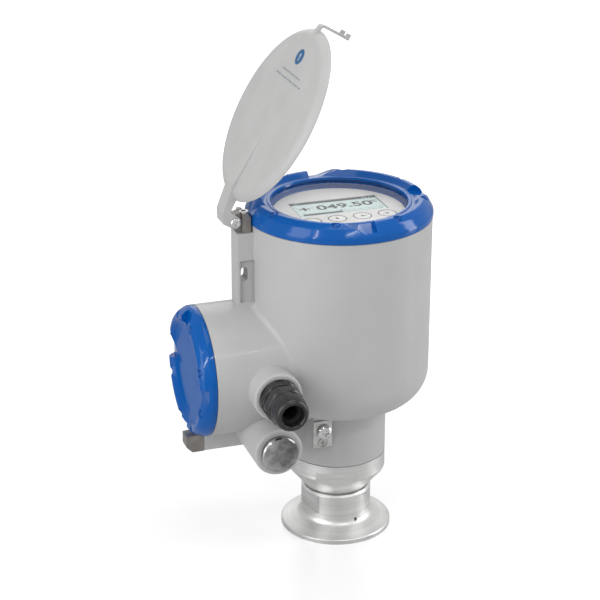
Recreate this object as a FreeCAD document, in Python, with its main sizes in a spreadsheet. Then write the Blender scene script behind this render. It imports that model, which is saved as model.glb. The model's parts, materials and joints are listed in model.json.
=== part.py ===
import FreeCAD, Part
import math
import os
import re
import Sketcher

# Compact radar level transmitter on a hygienic clamp ferrule. Millimetres, +Z up.
# Origin: centre of the ferrule's sealing face. The terminal compartment points along -X,
# the two cable entries along -Y, and the display looks up.

Vector = FreeCAD.Vector
Rotation = FreeCAD.Rotation
doc = FreeCAD.newDocument("RadarLevelTransmitter")
sheet = doc.addObject("Spreadsheet::Sheet", "Sizes")

# Driving dimensions, one sheet cell each
SIZES = {
    # Clamp ferrule: rim, sloped back, sealing groove, hub with two wrench flats, leak hole
    "ferrule_rad": 38.75,
    "ferrule_rim": 3.4,
    "ferrule_slope": 20,
    "ferrule_chamfer": 0.6,
    "gasket_inset": 3.75,
    "gasket_half": 1.6,
    "gasket_arc": 2.0,
    "hub_rad": 24.5,
    "hub_top": 30.4,
    "hub_root": 5,
    "hub_chamfer": 1.2,
    "hub_flat_cut": 3.5,
    "hub_flat_low": 15,
    "hub_flat_rim": 2,
    "hub_flat_turn": 11,
    "leak_rad": 1.3,
    "leak_height": 10.5,
    "leak_depth": 6,
    "leak_turn": 15,
    # Antenna lens in the ferrule and the round waveguide above it
    "lens_bore": 16,
    "lens_recess": 0.3,
    "lens_length": 20,
    "lens_tip": 11,
    "lens_tip_rad": 5,
    "lens_ring_rad": 1.0,
    "lens_ring_height": 12,
    "guide_bore": 5,
    "guide_rad": 7.5,
    "guide_gap": 0.6,
    # Cone adapter between ferrule and neck: tapered body, two wrench flats, spigot into the neck
    "cone_length": 27.6,
    "cone_gap": 0.7,
    "cone_gap_inset": 4,
    "cone_foot_inset": 2.3,
    "cone_taper": 15.6,
    "cone_round": 4,
    "cone_flat_cut": 3.2,
    "cone_flat_foot": 5.6,
    "cone_flat_tall": 16.4,
    "cone_flat_turn": 71,
    "spigot_long": 18,
    "groove_foot": 5,
    "groove_tall": 6,
    "groove_inset": 2.4,
    "neck_ring_rise": 14.5,
    "neck_ring_rad": 1.1,
    # Die-cast housing: neck, dome, barrel for the electronics
    "neck_rad": 34.2,
    "neck_wall": 5.9,
    "neck_long": 41,
    "neck_edge": 1.2,
    "neck_fillet": 4,
    "neck_play": 0.3,
    "neck_ledge_wide": 3,
    "neck_ledge_rise": 22,
    "dome_round": 24,
    "dome_wall": 7,
    "barrel_rad": 63,
    "barrel_tall": 133.3,
    "rim_wall": 4,
    "ledge_wide": 3,
    "ledge_deep": 16.3,
    "chamber_step": 3,
    "chamber_round": 16,
    "cover_bore_depth": 15,
    "partition_face": 36,
    "partition_wall": 4,
    "partition_rise": 47.5,
    "blend": 4,
    # Terminal compartment of the housing
    "side_rise": 31.5,
    "side_long": 36,
    "side_rad": 45,
    "side_wall": 6,
    "side_rim_wall": 3.5,
    "side_bore_depth": 12,
    # Cable entries on the -Y side, one above the other
    "entry_stand": 13,
    "entry_side": 61.5,
    "entry_drop": 0.5,
    "entry_pitch": 40,
    "entry_rad": 16.6,
    "entry_edge": 1.6,
    "entry_bore": 9.5,
    # Rib behind the hinge, lock lug below the terminal compartment, pad for the bonding terminal
    "rib_half": 7.5,
    "rib_drop": 4.3,
    "rib_panel_drop": 19.5,
    "rib_panel_tall": 29.5,
    "rib_panel_depth": 2.2,
    "rib_panel_edge": 1.8,
    "rib_slot_rad": 2.45,
    "rib_slot_inset": 5.2,
    "rib_slot_rise": 16.9,
    "rib_slot_long": 5.2,
    "lug_half": 6.5,
    "lug_drop": 0.4,
    "lug_setback": 1,
    "lug_root": 30,
    "pad_setback": 1.2,
    "pad_side": 22.4,
    "pad_half": 7,
    "pad_rise": 17.5,
    "pad_tall": 22,
    "pad_ridge": 6,
    "pad_ridge_half": 5.4,
    "pad_ridge_rise": 0.9,
    # Threaded covers: values that both share
    "thread_play": 0.3,
    "cover_gap": 0.3,
    "groove_low": 4.4,
    "groove_high": 1.6,
    "groove_depth": 2.8,
    "ring_section": 1.2,
    "notch_half": 4,
    "notch_ramp": 9.5,
    "dimple_rad": 2.7,
    "dimple_turn": 22,
    # Display cover
    "lid_overhang": 0.5,
    "lid_edge": 2.7,
    "lid_shoulder_inset": 5.3,
    "lid_shoulder": 10.9,
    "lid_bulge": 20,
    "lid_crest_inset": 7.1,
    "lid_crest_wide": 2.8,
    "lid_crest": 12.7,
    "lid_crest_round": 2,
    "lid_lip_inset": 16.3,
    "lid_lip": 9.9,
    "lid_window_seat": 8.2,
    "lid_spigot_wall": 5.3,
    "lid_spigot": 12.5,
    "lid_notch_outer": 6.2,
    "lid_notch_inner": 10,
    "lid_dimple_inset": 5.9,
    "lid_dimple_floor": 9.3,
    # Window, its gasket and its threaded retaining ring
    "window_frame": 1.2,
    "window_seat_wide": 3.2,
    "window_thick": 5,
    "window_seal": 0.4,
    "retainer_wide": 3.8,
    "retainer_thick": 3,
    "glass_play": 0.2,
    # Terminal cover
    "cap_edge": 2.4,
    "cap_shoulder_inset": 4,
    "cap_shoulder": 9.2,
    "cap_bulge": 16,
    "cap_crest_inset": 5.8,
    "cap_crest_wide": 2.4,
    "cap_crest": 11,
    "cap_crest_round": 2,
    "cap_lip_inset": 13,
    "cap_lip": 7.4,
    "cap_inside": 2,
    "cap_spigot_wall": 4.4,
    "cap_spigot": 10,
    "cap_notch_outer": 5.6,
    "cap_notch_inner": 7.4,
    "cap_dimple_inset": 5.2,
    "cap_dimple_floor": 7.6,
    # Display front, screen and four optical keys
    "front_inset": 2.6,
    "front_top": 2.4,
    "front_thick": 3.6,
    "front_skirt_play": 2.4,
    "front_skirt_wall": 2,
    "screen_half_x": 31,
    "screen_half_y": 14.2,
    "screen_mid_x": 2,
    "screen_mid_y": 7.4,
    "screen_sink": 0.3,
    "screen_play": 0.2,
    "screen_border_x": 5,
    "screen_border_y": 4.2,
    "screen_board_thick": 4,
    "key_rad": 6.4,
    "key_pitch": 17.7,
    "key_row": 16.2,
    "key_play": 0.2,
    # Electronics pot, board and microwave module
    "pot_flange": 3,
    "pot_play": 0.3,
    "pot_gap": 1.4,
    "pot_rise": 6,
    "board_inset": 8,
    "board_thick": 1.6,
    "module_play": 0.4,
    "module_flange_wide": 4.4,
    "module_flange": 4,
    "module_tall": 44,
    # Terminal carrier, strip and screws
    "carrier_play": 0.4,
    "carrier_thick": 8,
    "strip_half_y": 24,
    "strip_half_z": 9,
    "strip_thick": 14,
    "strip_screws": 4,
    "strip_screw_rad": 2.6,
    "strip_screw_rise": 0.8,
    # Cable gland
    "gland_washer_rad": 13.4,
    "gland_washer": 1.5,
    "gland_thread_play": 0.2,
    "gland_thread": 16,
    "gland_hex": 26,
    "gland_hex_high": 6.5,
    "gland_stem_rad": 9.6,
    "gland_stem": 12,
    "gland_hole": 6.2,
    "gland_seat_rad": 8,
    "gland_seat": 10,
    "insert_play": 0.3,
    "insert_hole": 5.2,
    "insert_rise": 4.6,
    "nut_hex": 25,
    "nut_play": 0.3,
    "nut_gap": 0.6,
    "nut_hex_high": 8,
    "nut_high": 21.6,
    "nut_mouth": 7.4,
    "nut_nose_rad": 11,
    # Blind plug
    "plug_seal_rad": 12.2,
    "plug_seal": 1.2,
    "plug_thread_play": 0.3,
    "plug_thread": 13,
    "plug_head_rad": 12.6,
    "plug_head": 3.2,
    "plug_dish": 1.3,
    "plug_rim": 1.8,
    "plug_chamfer": 0.8,
    # Bonding terminal
    "bond_half_x": 6.7,
    "bond_half_z": 9.8,
    "bond_thick": 1.6,
    "bond_screw_rise": 13.1,
    "bond_screw_inset": 0.8,
    "bond_hole": 2.8,
    "bond_washer_rad": 4.5,
    "bond_washer": 1.1,
    "bond_head_rad": 4.9,
    "bond_head": 3.4,
    "bond_shank_rad": 2.45,
    "bond_shank": 9,
    "bond_cross": 0.6,
    "bond_cross_reach": 2.4,
    "bond_cross_depth": 1.8,
    # Hinge bracket and pin
    "hinge_out": 12,
    "hinge_rise": 8,
    "bracket_half": 7,
    "tongue_half": 4,
    "tongue_rad": 4.2,
    "bracket_step_inset": 4.9,
    "bracket_face_inset": 11,
    "bracket_tall": 13.9,
    "bracket_slope": 3.4,
    "bracket_screw_rad": 3.4,
    "bracket_screw_inset": 7.8,
    "bracket_screw_head": 3,
    "bracket_screw_shank": 1.9,
    "bracket_screw_length": 18,
    "socket_rad": 1.6,
    "pin_rad": 2,
    "pin_play": 0.06,
    "pin_head_rad": 3.5,
    "pin_head": 1.6,
    "pin_tail": 2.6,
    "pin_socket_rad": 1.1,
    "clip_rad": 3.3,
    "clip_thick": 0.9,
    # Weather flap: disc with rolled rim, arm with two ears, hook
    "ear_half": 7.2,
    "ear_rad": 4.2,
    "ear_play": 0.3,
    "flap_open": 60,
    "flap_inset": 2,
    "flap_foot": 7.8,
    "flap_skirt": 1.6,
    "flap_wall": 1.5,
    "flap_under": 10.9,
    "flap_crown": 0.7,
    "flap_round": 8,
    "flap_roll": 7.5,
    "flap_inner_round": 3,
    "arm_under": 6.6,
    "arm_corner": 7,
    "arm_roof": 11,
    "arm_ridge": 14.2,
    "arm_ridge_start": 22,
    "arm_overlap": 47,
    "hook_half": 2.6,
    "hook_thick": 1.8,
    "hook_gap": 0.7,
    "hook_top": 11.2,
    "hook_low": -6.5,
    "hook_bar_half": 6,
    "hook_bar_high": 3,
    "hook_barb": 2.4,
    # Stop block of the terminal cover
    "stop_half": 5.2,
    "stop_out": 11.6,
    "stop_drop": 1,
    "stop_tall": 12.4,
    "stop_chamfer": 4,
    "stop_screw_rad": 2.4,
    "stop_screw_rise": 5.6,
    "stop_screw_head": 1.6,
    "stop_screw_shank": 1.5,
    "stop_screw_length": 14,
    # Grub screw that holds the neck on the spigot
    "grub_rad": 2.5,
    "grub_play": 0.1,
    "grub_tip_play": 0.4,
    "grub_sink": 0.6,
}

for row, (alias, number) in enumerate(SIZES.items(), start=1):
    sheet.set("A%d" % row, alias)
    sheet.set("B%d" % row, str(number))
    sheet.setAlias("B%d" % row, alias)
doc.recompute()

# Sizes and places that follow from the driving dimensions
LINKS = {
    # Heights, from the sealing face up to the seat of the display cover
    "cone_high": "hub_top + cone_taper",
    "neck_end": "hub_top + cone_length",
    "neck_ledge": "neck_end + neck_ledge_rise",
    "dome_base": "neck_end + neck_long",
    "chamber_floor": "dome_base + dome_wall",
    "seat_height": "dome_base + barrel_tall",
    "ledge_height": "seat_height - ledge_deep",
    "side_height": "dome_base + side_rise",
    "partition_top": "side_height + partition_rise",
    "entry_high": "side_height - entry_drop",
    "entry_low": "entry_high - entry_pitch",
    # Ferrule, lens, cone adapter and neck
    "gasket_rad": "ferrule_rad - gasket_inset",
    "hub_flat": "hub_rad - hub_flat_cut",
    "hub_flat_high": "hub_top - hub_flat_rim",
    "lens_ring_mid": "lens_bore - 1.1 * lens_ring_rad",
    "guide_top": "neck_ledge - guide_gap",
    "cone_gap_rad": "hub_rad - cone_gap_inset",
    "cone_foot_rad": "hub_rad - cone_foot_inset",
    "cone_flat": "neck_rad - cone_flat_cut",
    "cone_flat_low": "hub_top + cone_flat_foot",
    "cone_flat_high": "cone_flat_low + cone_flat_tall",
    "spigot_rad": "neck_rad - neck_wall - neck_play",
    "spigot_top": "neck_end + spigot_long",
    "spigot_groove_rad": "spigot_rad - groove_inset",
    "spigot_groove_low": "neck_end + groove_foot",
    "spigot_groove_high": "spigot_groove_low + groove_tall",
    "neck_ring_height": "neck_end + neck_ring_rise",
    "neck_ring_mid": "spigot_rad - neck_ring_rad - neck_play + 0.1",
    "neck_hole": "spigot_rad - neck_ledge_wide",
    # Barrel, display cover, window and what lies under it
    "cover_bore": "barrel_rad - rim_wall",
    "ledge_rad": "cover_bore - ledge_wide",
    "chamber_rad": "ledge_rad - chamber_step",
    "lid_rad": "barrel_rad + lid_overhang",
    "lid_shoulder_rad": "lid_rad - lid_shoulder_inset",
    "lid_crest_out": "lid_rad - lid_crest_inset",
    "lid_crest_in": "lid_crest_out - lid_crest_wide",
    "lid_lip_rad": "lid_rad - lid_lip_inset",
    "lid_spigot_rad": "cover_bore - thread_play",
    "lid_spigot_in": "lid_spigot_rad - lid_spigot_wall",
    "lid_dimple_mid": "lid_rad - lid_dimple_inset",
    "lid_window_rad": "lid_lip_rad - window_frame",
    "window_rad": "lid_window_rad + window_seat_wide",
    "retainer_in": "window_rad - retainer_wide",
    "front_rad": "lid_lip_rad - front_inset",
    "front_skirt_rad": "lid_spigot_in - front_skirt_play",
    "screen_board_x": "screen_half_x + screen_border_x",
    "screen_board_y": "screen_half_y + screen_border_y",
    "pot_rad": "chamber_rad - pot_gap",
    "pot_low": "partition_top + pot_rise",
    "board_rad": "ledge_rad - board_inset",
    "module_rad": "neck_hole - module_play",
    "module_flange_rad": "module_rad + module_flange_wide",
    "module_top": "chamber_floor + module_tall",
    # Terminal compartment and its cover
    "side_reach": "barrel_rad + side_long",
    "side_chamber_rad": "side_rad - side_wall",
    "side_bore": "side_rad - side_rim_wall",
    "cap_rad": "side_rad",
    "cap_shoulder_rad": "cap_rad - cap_shoulder_inset",
    "cap_crest_out": "cap_rad - cap_crest_inset",
    "cap_crest_in": "cap_crest_out - cap_crest_wide",
    "cap_lip_rad": "cap_rad - cap_lip_inset",
    "cap_spigot_rad": "side_bore - thread_play",
    "cap_spigot_in": "cap_spigot_rad - cap_spigot_wall",
    "cap_dimple_mid": "cap_rad - cap_dimple_inset",
    "carrier_rad": "side_chamber_rad - carrier_play",
    # Cable entries with gland and plug
    "entry_reach": "side_rad + entry_stand",
    "gland_thread_rad": "entry_bore - gland_thread_play",
    "insert_rad": "gland_seat_rad - insert_play",
    "plug_thread_rad": "entry_bore - plug_thread_play",
    "plug_dish_rad": "plug_head_rad - plug_rim",
    # Lock lug with its stop block, bonding pad
    "lug_reach": "side_reach - lug_setback",
    "lug_low": "entry_low - entry_rad - lug_drop",
    "stop_reach": "side_reach + stop_out",
    "stop_low": "lug_low - stop_drop",
    "stop_high": "stop_low + stop_tall",
    "stop_screw_height": "lug_low + stop_screw_rise",
    "pad_face": "neck_rad - pad_setback",
    "pad_low": "neck_end + pad_rise",
    "pad_high": "pad_low + pad_tall",
    "bond_screw_height": "pad_low + bond_screw_rise",
    "bond_screw_side": "pad_side - bond_screw_inset",
    # Rib, hinge bracket and flap
    "hinge_side": "barrel_rad + hinge_out",
    "rib_reach": "hinge_side - 1.4",
    "rib_top": "seat_height - rib_drop",
    "rib_panel_top": "rib_top - rib_panel_drop",
    "rib_panel_low": "rib_panel_top - rib_panel_tall",
    "rib_slot_mid": "rib_reach - rib_slot_inset",
    "rib_slot_low": "rib_panel_low + rib_slot_rise",
    "rib_slot_high": "rib_slot_low + rib_slot_long",
    "hinge_height": "rib_top + hinge_rise",
    "bracket_top": "rib_top + bracket_tall",
    "bracket_step": "hinge_side - bracket_step_inset",
    "bracket_face": "hinge_side - bracket_face_inset",
    "bracket_screw_side": "hinge_side - bracket_screw_inset",
    "flap_reach": "hinge_side",
    "flap_rad": "lid_rad - flap_inset",
    "arm_end": "hinge_side - flap_rad + arm_overlap",
}

# Directions that a local Z axis can be given
UP = Rotation()
LEFT = Rotation(Vector(0, 1, 0), -90)
RIGHT = Rotation(Vector(0, 1, 0), 90)
FRONT = Rotation(Vector(1, 0, 0), 90)
BACK = Rotation(Vector(1, 0, 0), -90)
DOWN = Rotation(Vector(1, 0, 0), 180)


def bound(text):
    """Write a formula of plain names as one that reads the sheet."""
    return re.sub(r"[a-z]\w*", linked, text)


def linked(word):
    """Turn one name of a formula into its sheet cell, or into the formula that it stands for."""
    name = word.group()
    if name in LINKS:
        return "(" + bound(LINKS[name]) + ")"
    return "Sizes." + name if name in SIZES else name


def value(text):
    """Work a formula out for the place where a shape starts."""
    return float(sheet.evalExpression(bound(text)))


def place(thing, at, way=UP):
    """Stand an object at a point given by three formulas, with its local Z along way."""
    thing.Placement = FreeCAD.Placement(Vector(*[value(text) for text in at]), way)
    for axis, text in zip("xyz", at):
        if text != "0":
            thing.setExpression("Placement.Base." + axis, bound(text))


def role(body, name):
    """Find one of a body's own base planes or axes."""
    return [part for part in body.Origin.OriginFeatures if part.Role == name][0]


def sketch_on(body, plane, offset="0"):
    """Start a sketch on a base plane of its body, moved along the plane's normal."""
    sketch = body.newObject("Sketcher::SketchObject", "Sketch")
    sketch.AttachmentSupport = [(role(body, plane), "")]
    sketch.MapMode = "FlatFace"
    if offset != "0":
        sketch.setExpression("AttachmentOffset.Base.z", bound(offset))
    return sketch


def fix(sketch, kind, index, end, text):
    """Hold one coordinate of a corner at its formula."""
    if text == "0":
        line = -2 if kind == "DistanceX" else -1
        sketch.addConstraint(Sketcher.Constraint("PointOnObject", index, end, line))
        return
    number = sketch.addConstraint(Sketcher.Constraint(kind, -1, 1, index, end, value(text)))
    sketch.setExpression("Constraints[%d]" % number, bound(text))


def arc_between(start, finish, radius, turn):
    """Make the short arc between two points, turning 'ccw' or 'cw'."""
    chord = finish - start
    rise = math.sqrt(max(radius ** 2 - chord.Length ** 2 / 4, 0))
    left = Vector(-chord.y, chord.x, 0).normalize()
    centre = (start + finish) / 2 + left * (rise if turn == "ccw" else -rise)
    first, last = (start, finish) if turn == "ccw" else (finish, start)
    angles = [math.atan2(point.y - centre.y, point.x - centre.x) for point in (first, last)]
    return Part.ArcOfCircle(Part.Circle(centre, Vector(0, 0, 1), radius), angles[0], angles[1])


def draw(sketch, corners):
    """Draw a closed outline. A corner is (x, y), or (x, y, radius, turn) where an arc leads to it."""
    points = [Vector(value(corner[0]), value(corner[1]), 0) for corner in corners]
    joins = []
    for number, corner in enumerate(corners):
        start = points[number - 1]
        if len(corner) == 4:
            turn = corner[3]
            sketch.addGeometry(arc_between(start, points[number], value(corner[2]), turn))
            joins.append((1, 2) if turn == "ccw" else (2, 1))
        else:
            sketch.addGeometry(Part.LineSegment(start, points[number]))
            joins.append((1, 2))
    for number in range(len(corners)):
        after = (number + 1) % len(corners)
        joined = Sketcher.Constraint("Coincident", number, joins[number][1], after, joins[after][0])
        sketch.addConstraint(joined)
    for number, corner in enumerate(corners):
        fix(sketch, "DistanceX", number, joins[number][1], corner[0])
        fix(sketch, "DistanceY", number, joins[number][1], corner[1])
        if len(corner) == 4:
            radius = sketch.addConstraint(Sketcher.Constraint("Radius", number, value(corner[2])))
            sketch.setExpression("Constraints[%d]" % radius, bound(corner[2]))


def circle(sketch, x, y, radius):
    """Draw a full circle held by three formulas."""
    number = sketch.addGeometry(Part.Circle(Vector(value(x), value(y), 0), Vector(0, 0, 1), value(radius)))
    fix(sketch, "DistanceX", number, 3, x)
    fix(sketch, "DistanceY", number, 3, y)
    held = sketch.addConstraint(Sketcher.Constraint("Radius", number, value(radius)))
    sketch.setExpression("Constraints[%d]" % held, bound(radius))


def turned(label, corners, at=("0", "0", "0"), way=UP):
    """Turn an outline of radius and height about a body's local Z axis."""
    body = doc.addObject("PartDesign::Body", "Body")
    body.Label = label
    sketch = sketch_on(body, "XZ_Plane")
    draw(sketch, corners)
    turn = body.newObject("PartDesign::Revolution", "Revolution")
    turn.Profile = (sketch, [""])
    turn.ReferenceAxis = (sketch, ["V_Axis"])
    turn.Angle = 360
    place(body, at, way)
    return body


def plate(label, corners, half, at=("0", "0", "0"), way=UP):
    """Pad an outline in the local XZ plane to both sides of it."""
    body = doc.addObject("PartDesign::Body", "Body")
    body.Label = label
    sketch = sketch_on(body, "XZ_Plane")
    draw(sketch, corners)
    pad = body.newObject("PartDesign::Pad", "Pad")
    pad.Profile = (sketch, [""])
    pad.SideType = "Symmetric"
    pad.setExpression("Length", bound("2 * (" + half + ")"))
    place(body, at, way)
    return body


def cylinder(radius, height, at=("0", "0", "0"), way=UP):
    """Round bar whose foot stands at a point and that runs along way."""
    bar = doc.addObject("Part::Cylinder", "Cylinder")
    bar.setExpression("Radius", bound(radius))
    bar.setExpression("Height", bound(height))
    place(bar, at, way)
    return bar


def block(low, spans):
    """Box from its lowest corner and its three sides."""
    box = doc.addObject("Part::Box", "Box")
    for side, text in zip(("Length", "Width", "Height"), spans):
        box.setExpression(side, bound(text))
    place(box, low)
    return box


def hexagon(flats, height, at, way):
    """Six-sided bar from its width across flats."""
    prism = doc.addObject("Part::Prism", "Prism")
    prism.Polygon = 6
    prism.setExpression("Circumradius", bound("(" + flats + ") / (2 * cos(30 deg))"))
    prism.setExpression("Height", bound(height))
    place(prism, at, way)
    return prism


def ring(label, middle, section, at=("0", "0", "0"), way=UP):
    """O-ring from the radius of its middle line and of its section."""
    torus = doc.addObject("Part::Torus", "Torus")
    torus.Label = label
    torus.setExpression("Radius1", bound(middle))
    torus.setExpression("Radius2", bound(section))
    place(torus, at, way)
    return torus


def join(label, pieces):
    """Fuse solids into one piece."""
    whole = doc.addObject("Part::MultiFuse", "Fuse")
    whole.Label = label
    whole.Shapes = pieces
    whole.Refine = True
    return whole


def cut(label, base, tools):
    """Cut one or more tools out of a piece."""
    tool = tools[0] if len(tools) == 1 else join(label + " tools", tools)
    result = doc.addObject("Part::Cut", "Cut")
    result.Label = label
    result.Base = base
    result.Tool = tool
    result.Refine = True
    return result


def common(label, first, second):
    """Keep what two solids share."""
    shared = doc.addObject("Part::Common", "Common")
    shared.Label = label
    shared.Base = first
    shared.Tool = second
    return shared


def washer(label, inner, outer, thick, at, way):
    """Flat ring lying on a face."""
    corners = [(inner, "0"), (outer, "0"), (outer, thick), (inner, thick)]
    return turned(label, corners, at, way)


def wrench_flats(distance, low, high, outside, turn):
    """Two boxes that mill opposite flats at a distance from the vertical axis."""
    tools = []
    for number in range(2):
        angle = "(" + turn + " + %d) * 1 deg" % (180 * number)
        box = doc.addObject("Part::Box", "Flat")
        box.setExpression("Length", bound(outside + " - " + distance + " + 1"))
        box.setExpression("Width", bound("2 * " + outside))
        box.setExpression("Height", bound(high + " - " + low))
        across = [distance + " * cos(%s) + " % angle + outside + " * sin(%s)" % angle]
        across.append(distance + " * sin(%s) - " % angle + outside + " * cos(%s)" % angle)
        place(box, (across[0], across[1], low), Rotation(Vector(0, 0, 1), value(turn) + 180 * number))
        box.setExpression("Placement.Rotation.Angle", bound(angle))
        tools.append(box)
    return tools


def clamp_ferrule():
    slope = "tan(ferrule_slope * 1 deg)"
    foot = "(hub_rad + hub_root - hub_root * sin(ferrule_slope * 1 deg))"
    foot_height = "(ferrule_rim + (ferrule_rad - ferrule_chamfer - " + foot + ") * " + slope + ")"
    root_height = foot_height + " + hub_root * cos(ferrule_slope * 1 deg)"
    blank = turned("ferrule turning", [
        ("lens_bore", "0"),
        ("gasket_rad - gasket_half", "0"),
        ("gasket_rad + gasket_half", "0", "gasket_arc", "cw"),
        ("ferrule_rad", "0"),
        ("ferrule_rad", "ferrule_rim - ferrule_chamfer"),
        ("ferrule_rad - ferrule_chamfer", "ferrule_rim"),
        (foot, foot_height),
        ("hub_rad", root_height, "hub_root", "cw"),
        ("hub_rad", "hub_top - hub_chamfer"),
        ("hub_rad - hub_chamfer", "hub_top"),
        ("lens_bore", "hub_top"),
    ])
    tools = wrench_flats("hub_flat", "hub_flat_low", "hub_flat_high", "ferrule_rad", "hub_flat_turn")
    angle = "(leak_turn * 1 deg)"
    start = "(hub_rad + hub_root)"
    at = (start + " * sin" + angle, "-" + start + " * cos" + angle, "leak_height")
    tools.append(cylinder("leak_rad", "hub_root + leak_depth", at, leak_direction()))
    cut("clamp_ferrule", blank, tools)


def leak_direction():
    """Direction of the leak hole: level, from the outside towards the axis."""
    turn = math.radians(value("leak_turn"))
    return Rotation(Vector(0, 0, 1), Vector(-math.sin(turn), math.cos(turn), 0))


def antenna():
    turned("antenna_lens", [
        ("0", "lens_recess"),
        ("lens_bore", "lens_recess"),
        ("lens_bore", "lens_ring_height - 1.3 * lens_ring_rad"),
        ("lens_ring_mid - 1.1 * lens_ring_rad", "lens_ring_height - 1.3 * lens_ring_rad"),
        ("lens_ring_mid - 1.1 * lens_ring_rad", "lens_ring_height + 1.3 * lens_ring_rad"),
        ("lens_bore", "lens_ring_height + 1.3 * lens_ring_rad"),
        ("lens_bore", "lens_length"),
        ("lens_tip_rad", "lens_length"),
        ("0", "lens_length + lens_tip"),
    ])
    ring("lens_seal", "lens_ring_mid", "lens_ring_rad", ("0", "0", "lens_ring_height"))
    washer("waveguide", "guide_bore", "guide_rad", "guide_top - lens_length",
           ("0", "0", "lens_length"), UP)


def cone_adapter():
    blank = turned("adapter turning", [
        ("guide_rad", "hub_top"),
        ("cone_gap_rad", "hub_top"),
        ("cone_gap_rad", "hub_top + cone_gap"),
        ("cone_foot_rad", "hub_top + cone_gap"),
        ("neck_rad - cone_round / 3", "cone_high - cone_round / 2"),
        ("neck_rad", "cone_high + cone_round / 2", "cone_round", "ccw"),
        ("neck_rad", "neck_end"),
        ("spigot_rad", "neck_end"),
        ("spigot_rad", "spigot_groove_low"),
        ("spigot_groove_rad", "spigot_groove_low"),
        ("spigot_groove_rad", "spigot_groove_high"),
        ("spigot_rad", "spigot_groove_high"),
        ("spigot_rad", "neck_ring_height - 1.3 * neck_ring_rad"),
        ("neck_ring_mid - 1.1 * neck_ring_rad", "neck_ring_height - 1.3 * neck_ring_rad"),
        ("neck_ring_mid - 1.1 * neck_ring_rad", "neck_ring_height + 1.3 * neck_ring_rad"),
        ("spigot_rad", "neck_ring_height + 1.3 * neck_ring_rad"),
        ("spigot_rad", "spigot_top"),
        ("guide_rad", "spigot_top"),
    ])
    tools = wrench_flats("cone_flat", "cone_flat_low", "cone_flat_high", "neck_rad", "cone_flat_turn")
    cut("cone_adapter", blank, tools)
    ring("neck_seal", "neck_ring_mid", "neck_ring_rad", ("0", "0", "neck_ring_height"))


def housing_outside():
    barrel = turned("housing barrel", [
        ("0", "neck_end"),
        ("neck_rad - neck_edge", "neck_end"),
        ("neck_rad", "neck_end + neck_edge", "neck_edge", "ccw"),
        ("neck_rad", "dome_base - neck_fillet"),
        ("neck_rad + neck_fillet", "dome_base", "neck_fillet", "cw"),
        ("barrel_rad - dome_round", "dome_base"),
        ("barrel_rad", "dome_base + dome_round", "dome_round", "ccw"),
        ("barrel_rad", "seat_height"),
        ("0", "seat_height"),
    ])
    side = cylinder("side_rad", "side_reach", ("0", "0", "side_height"), LEFT)
    rib = plate("rib", [
        ("-rib_reach", "side_height"),
        ("-barrel_rad / 2", "side_height"),
        ("-barrel_rad / 2", "rib_top"),
        ("-rib_reach", "rib_top"),
    ], "rib_half")
    lug = plate("lug", [
        ("-lug_reach", "lug_low"),
        ("-entry_side", "lug_low"),
        ("-lug_root", "dome_base - neck_fillet - entry_rad"),
        ("-lug_root", "side_height"),
        ("-lug_reach", "side_height"),
    ], "lug_half")
    pieces = [blended(join("housing shell", [barrel, side])), rib, lug]
    for number in range(2):
        height = ("entry_high", "entry_low")[number]
        boss = turned("cable boss", [
            ("0", "-entry_rad"),
            ("entry_rad", "0", "entry_rad", "ccw"),
            ("entry_rad", "entry_reach - entry_edge"),
            ("entry_rad - entry_edge", "entry_reach", "entry_edge", "ccw"),
            ("0", "entry_reach"),
        ], ("-entry_side", "0", height), FRONT)
        pieces.append(boss)
    low = ("-pad_side - pad_half", "-pad_face", "pad_low")
    pieces.append(block(low, ("2 * pad_half", "pad_face - neck_rad / 3", "pad_high - pad_low")))
    ridge = ("-pad_side - pad_half", "-pad_face - pad_ridge_rise", "pad_high")
    spans = ("2 * pad_ridge_half", "pad_face + pad_ridge_rise - neck_rad / 3", "pad_ridge")
    pieces.append(block(ridge, spans))
    return join("housing outside", pieces)


def blended(shell):
    """Round the hollow edge where the barrel and the terminal compartment meet."""
    doc.recompute()
    radius = value("blend")
    edges = enumerate(shell.Shape.Edges, start=1)
    meeting = [number for number, edge in edges if edge.Curve.TypeId == "Part::GeomBSplineCurve"]
    blend = doc.addObject("Part::Fillet", "Blend")
    blend.Base = shell
    blend.Edges = [(number, radius, radius) for number in meeting]
    return blend


def housing_chambers():
    main = turned("electronics chamber", [
        ("0", "chamber_floor"),
        ("chamber_rad - chamber_round", "chamber_floor"),
        ("chamber_rad", "chamber_floor + chamber_round", "chamber_round", "ccw"),
        ("chamber_rad", "ledge_height"),
        ("ledge_rad", "ledge_height"),
        ("ledge_rad", "seat_height - cover_bore_depth"),
        ("cover_bore", "seat_height - cover_bore_depth"),
        ("cover_bore", "seat_height + 1"),
        ("0", "seat_height + 1"),
    ])
    keep = block(("-barrel_rad", "-barrel_rad", "chamber_floor - 1"),
                 ("barrel_rad - partition_face", "2 * barrel_rad", "partition_top - chamber_floor + 1"))
    tools = [cut("electronics space", main, [keep])]
    floor = "(partition_face + partition_wall)"
    tools.append(turned("terminal space", [
        ("0", floor),
        ("side_chamber_rad", floor),
        ("side_chamber_rad", "side_reach - side_bore_depth"),
        ("side_bore", "side_reach - side_bore_depth"),
        ("side_bore", "side_reach + 1"),
        ("0", "side_reach + 1"),
    ], ("0", "0", "side_height"), LEFT))
    tools.append(cylinder("spigot_rad + neck_play", "neck_ledge - neck_end + 1", ("0", "0", "neck_end - 1")))
    tools.append(cylinder("neck_hole", "chamber_floor - neck_ledge + 2", ("0", "0", "neck_ledge - 1")))
    for number, depth in enumerate(("entry_reach - side_chamber_rad / 2", "entry_reach")):
        height = ("entry_high", "entry_low")[number]
        at = ("-entry_side", "-entry_reach - 1", height)
        tools.append(cylinder("entry_bore", depth + " + 1", at, BACK))
    return tools


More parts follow.
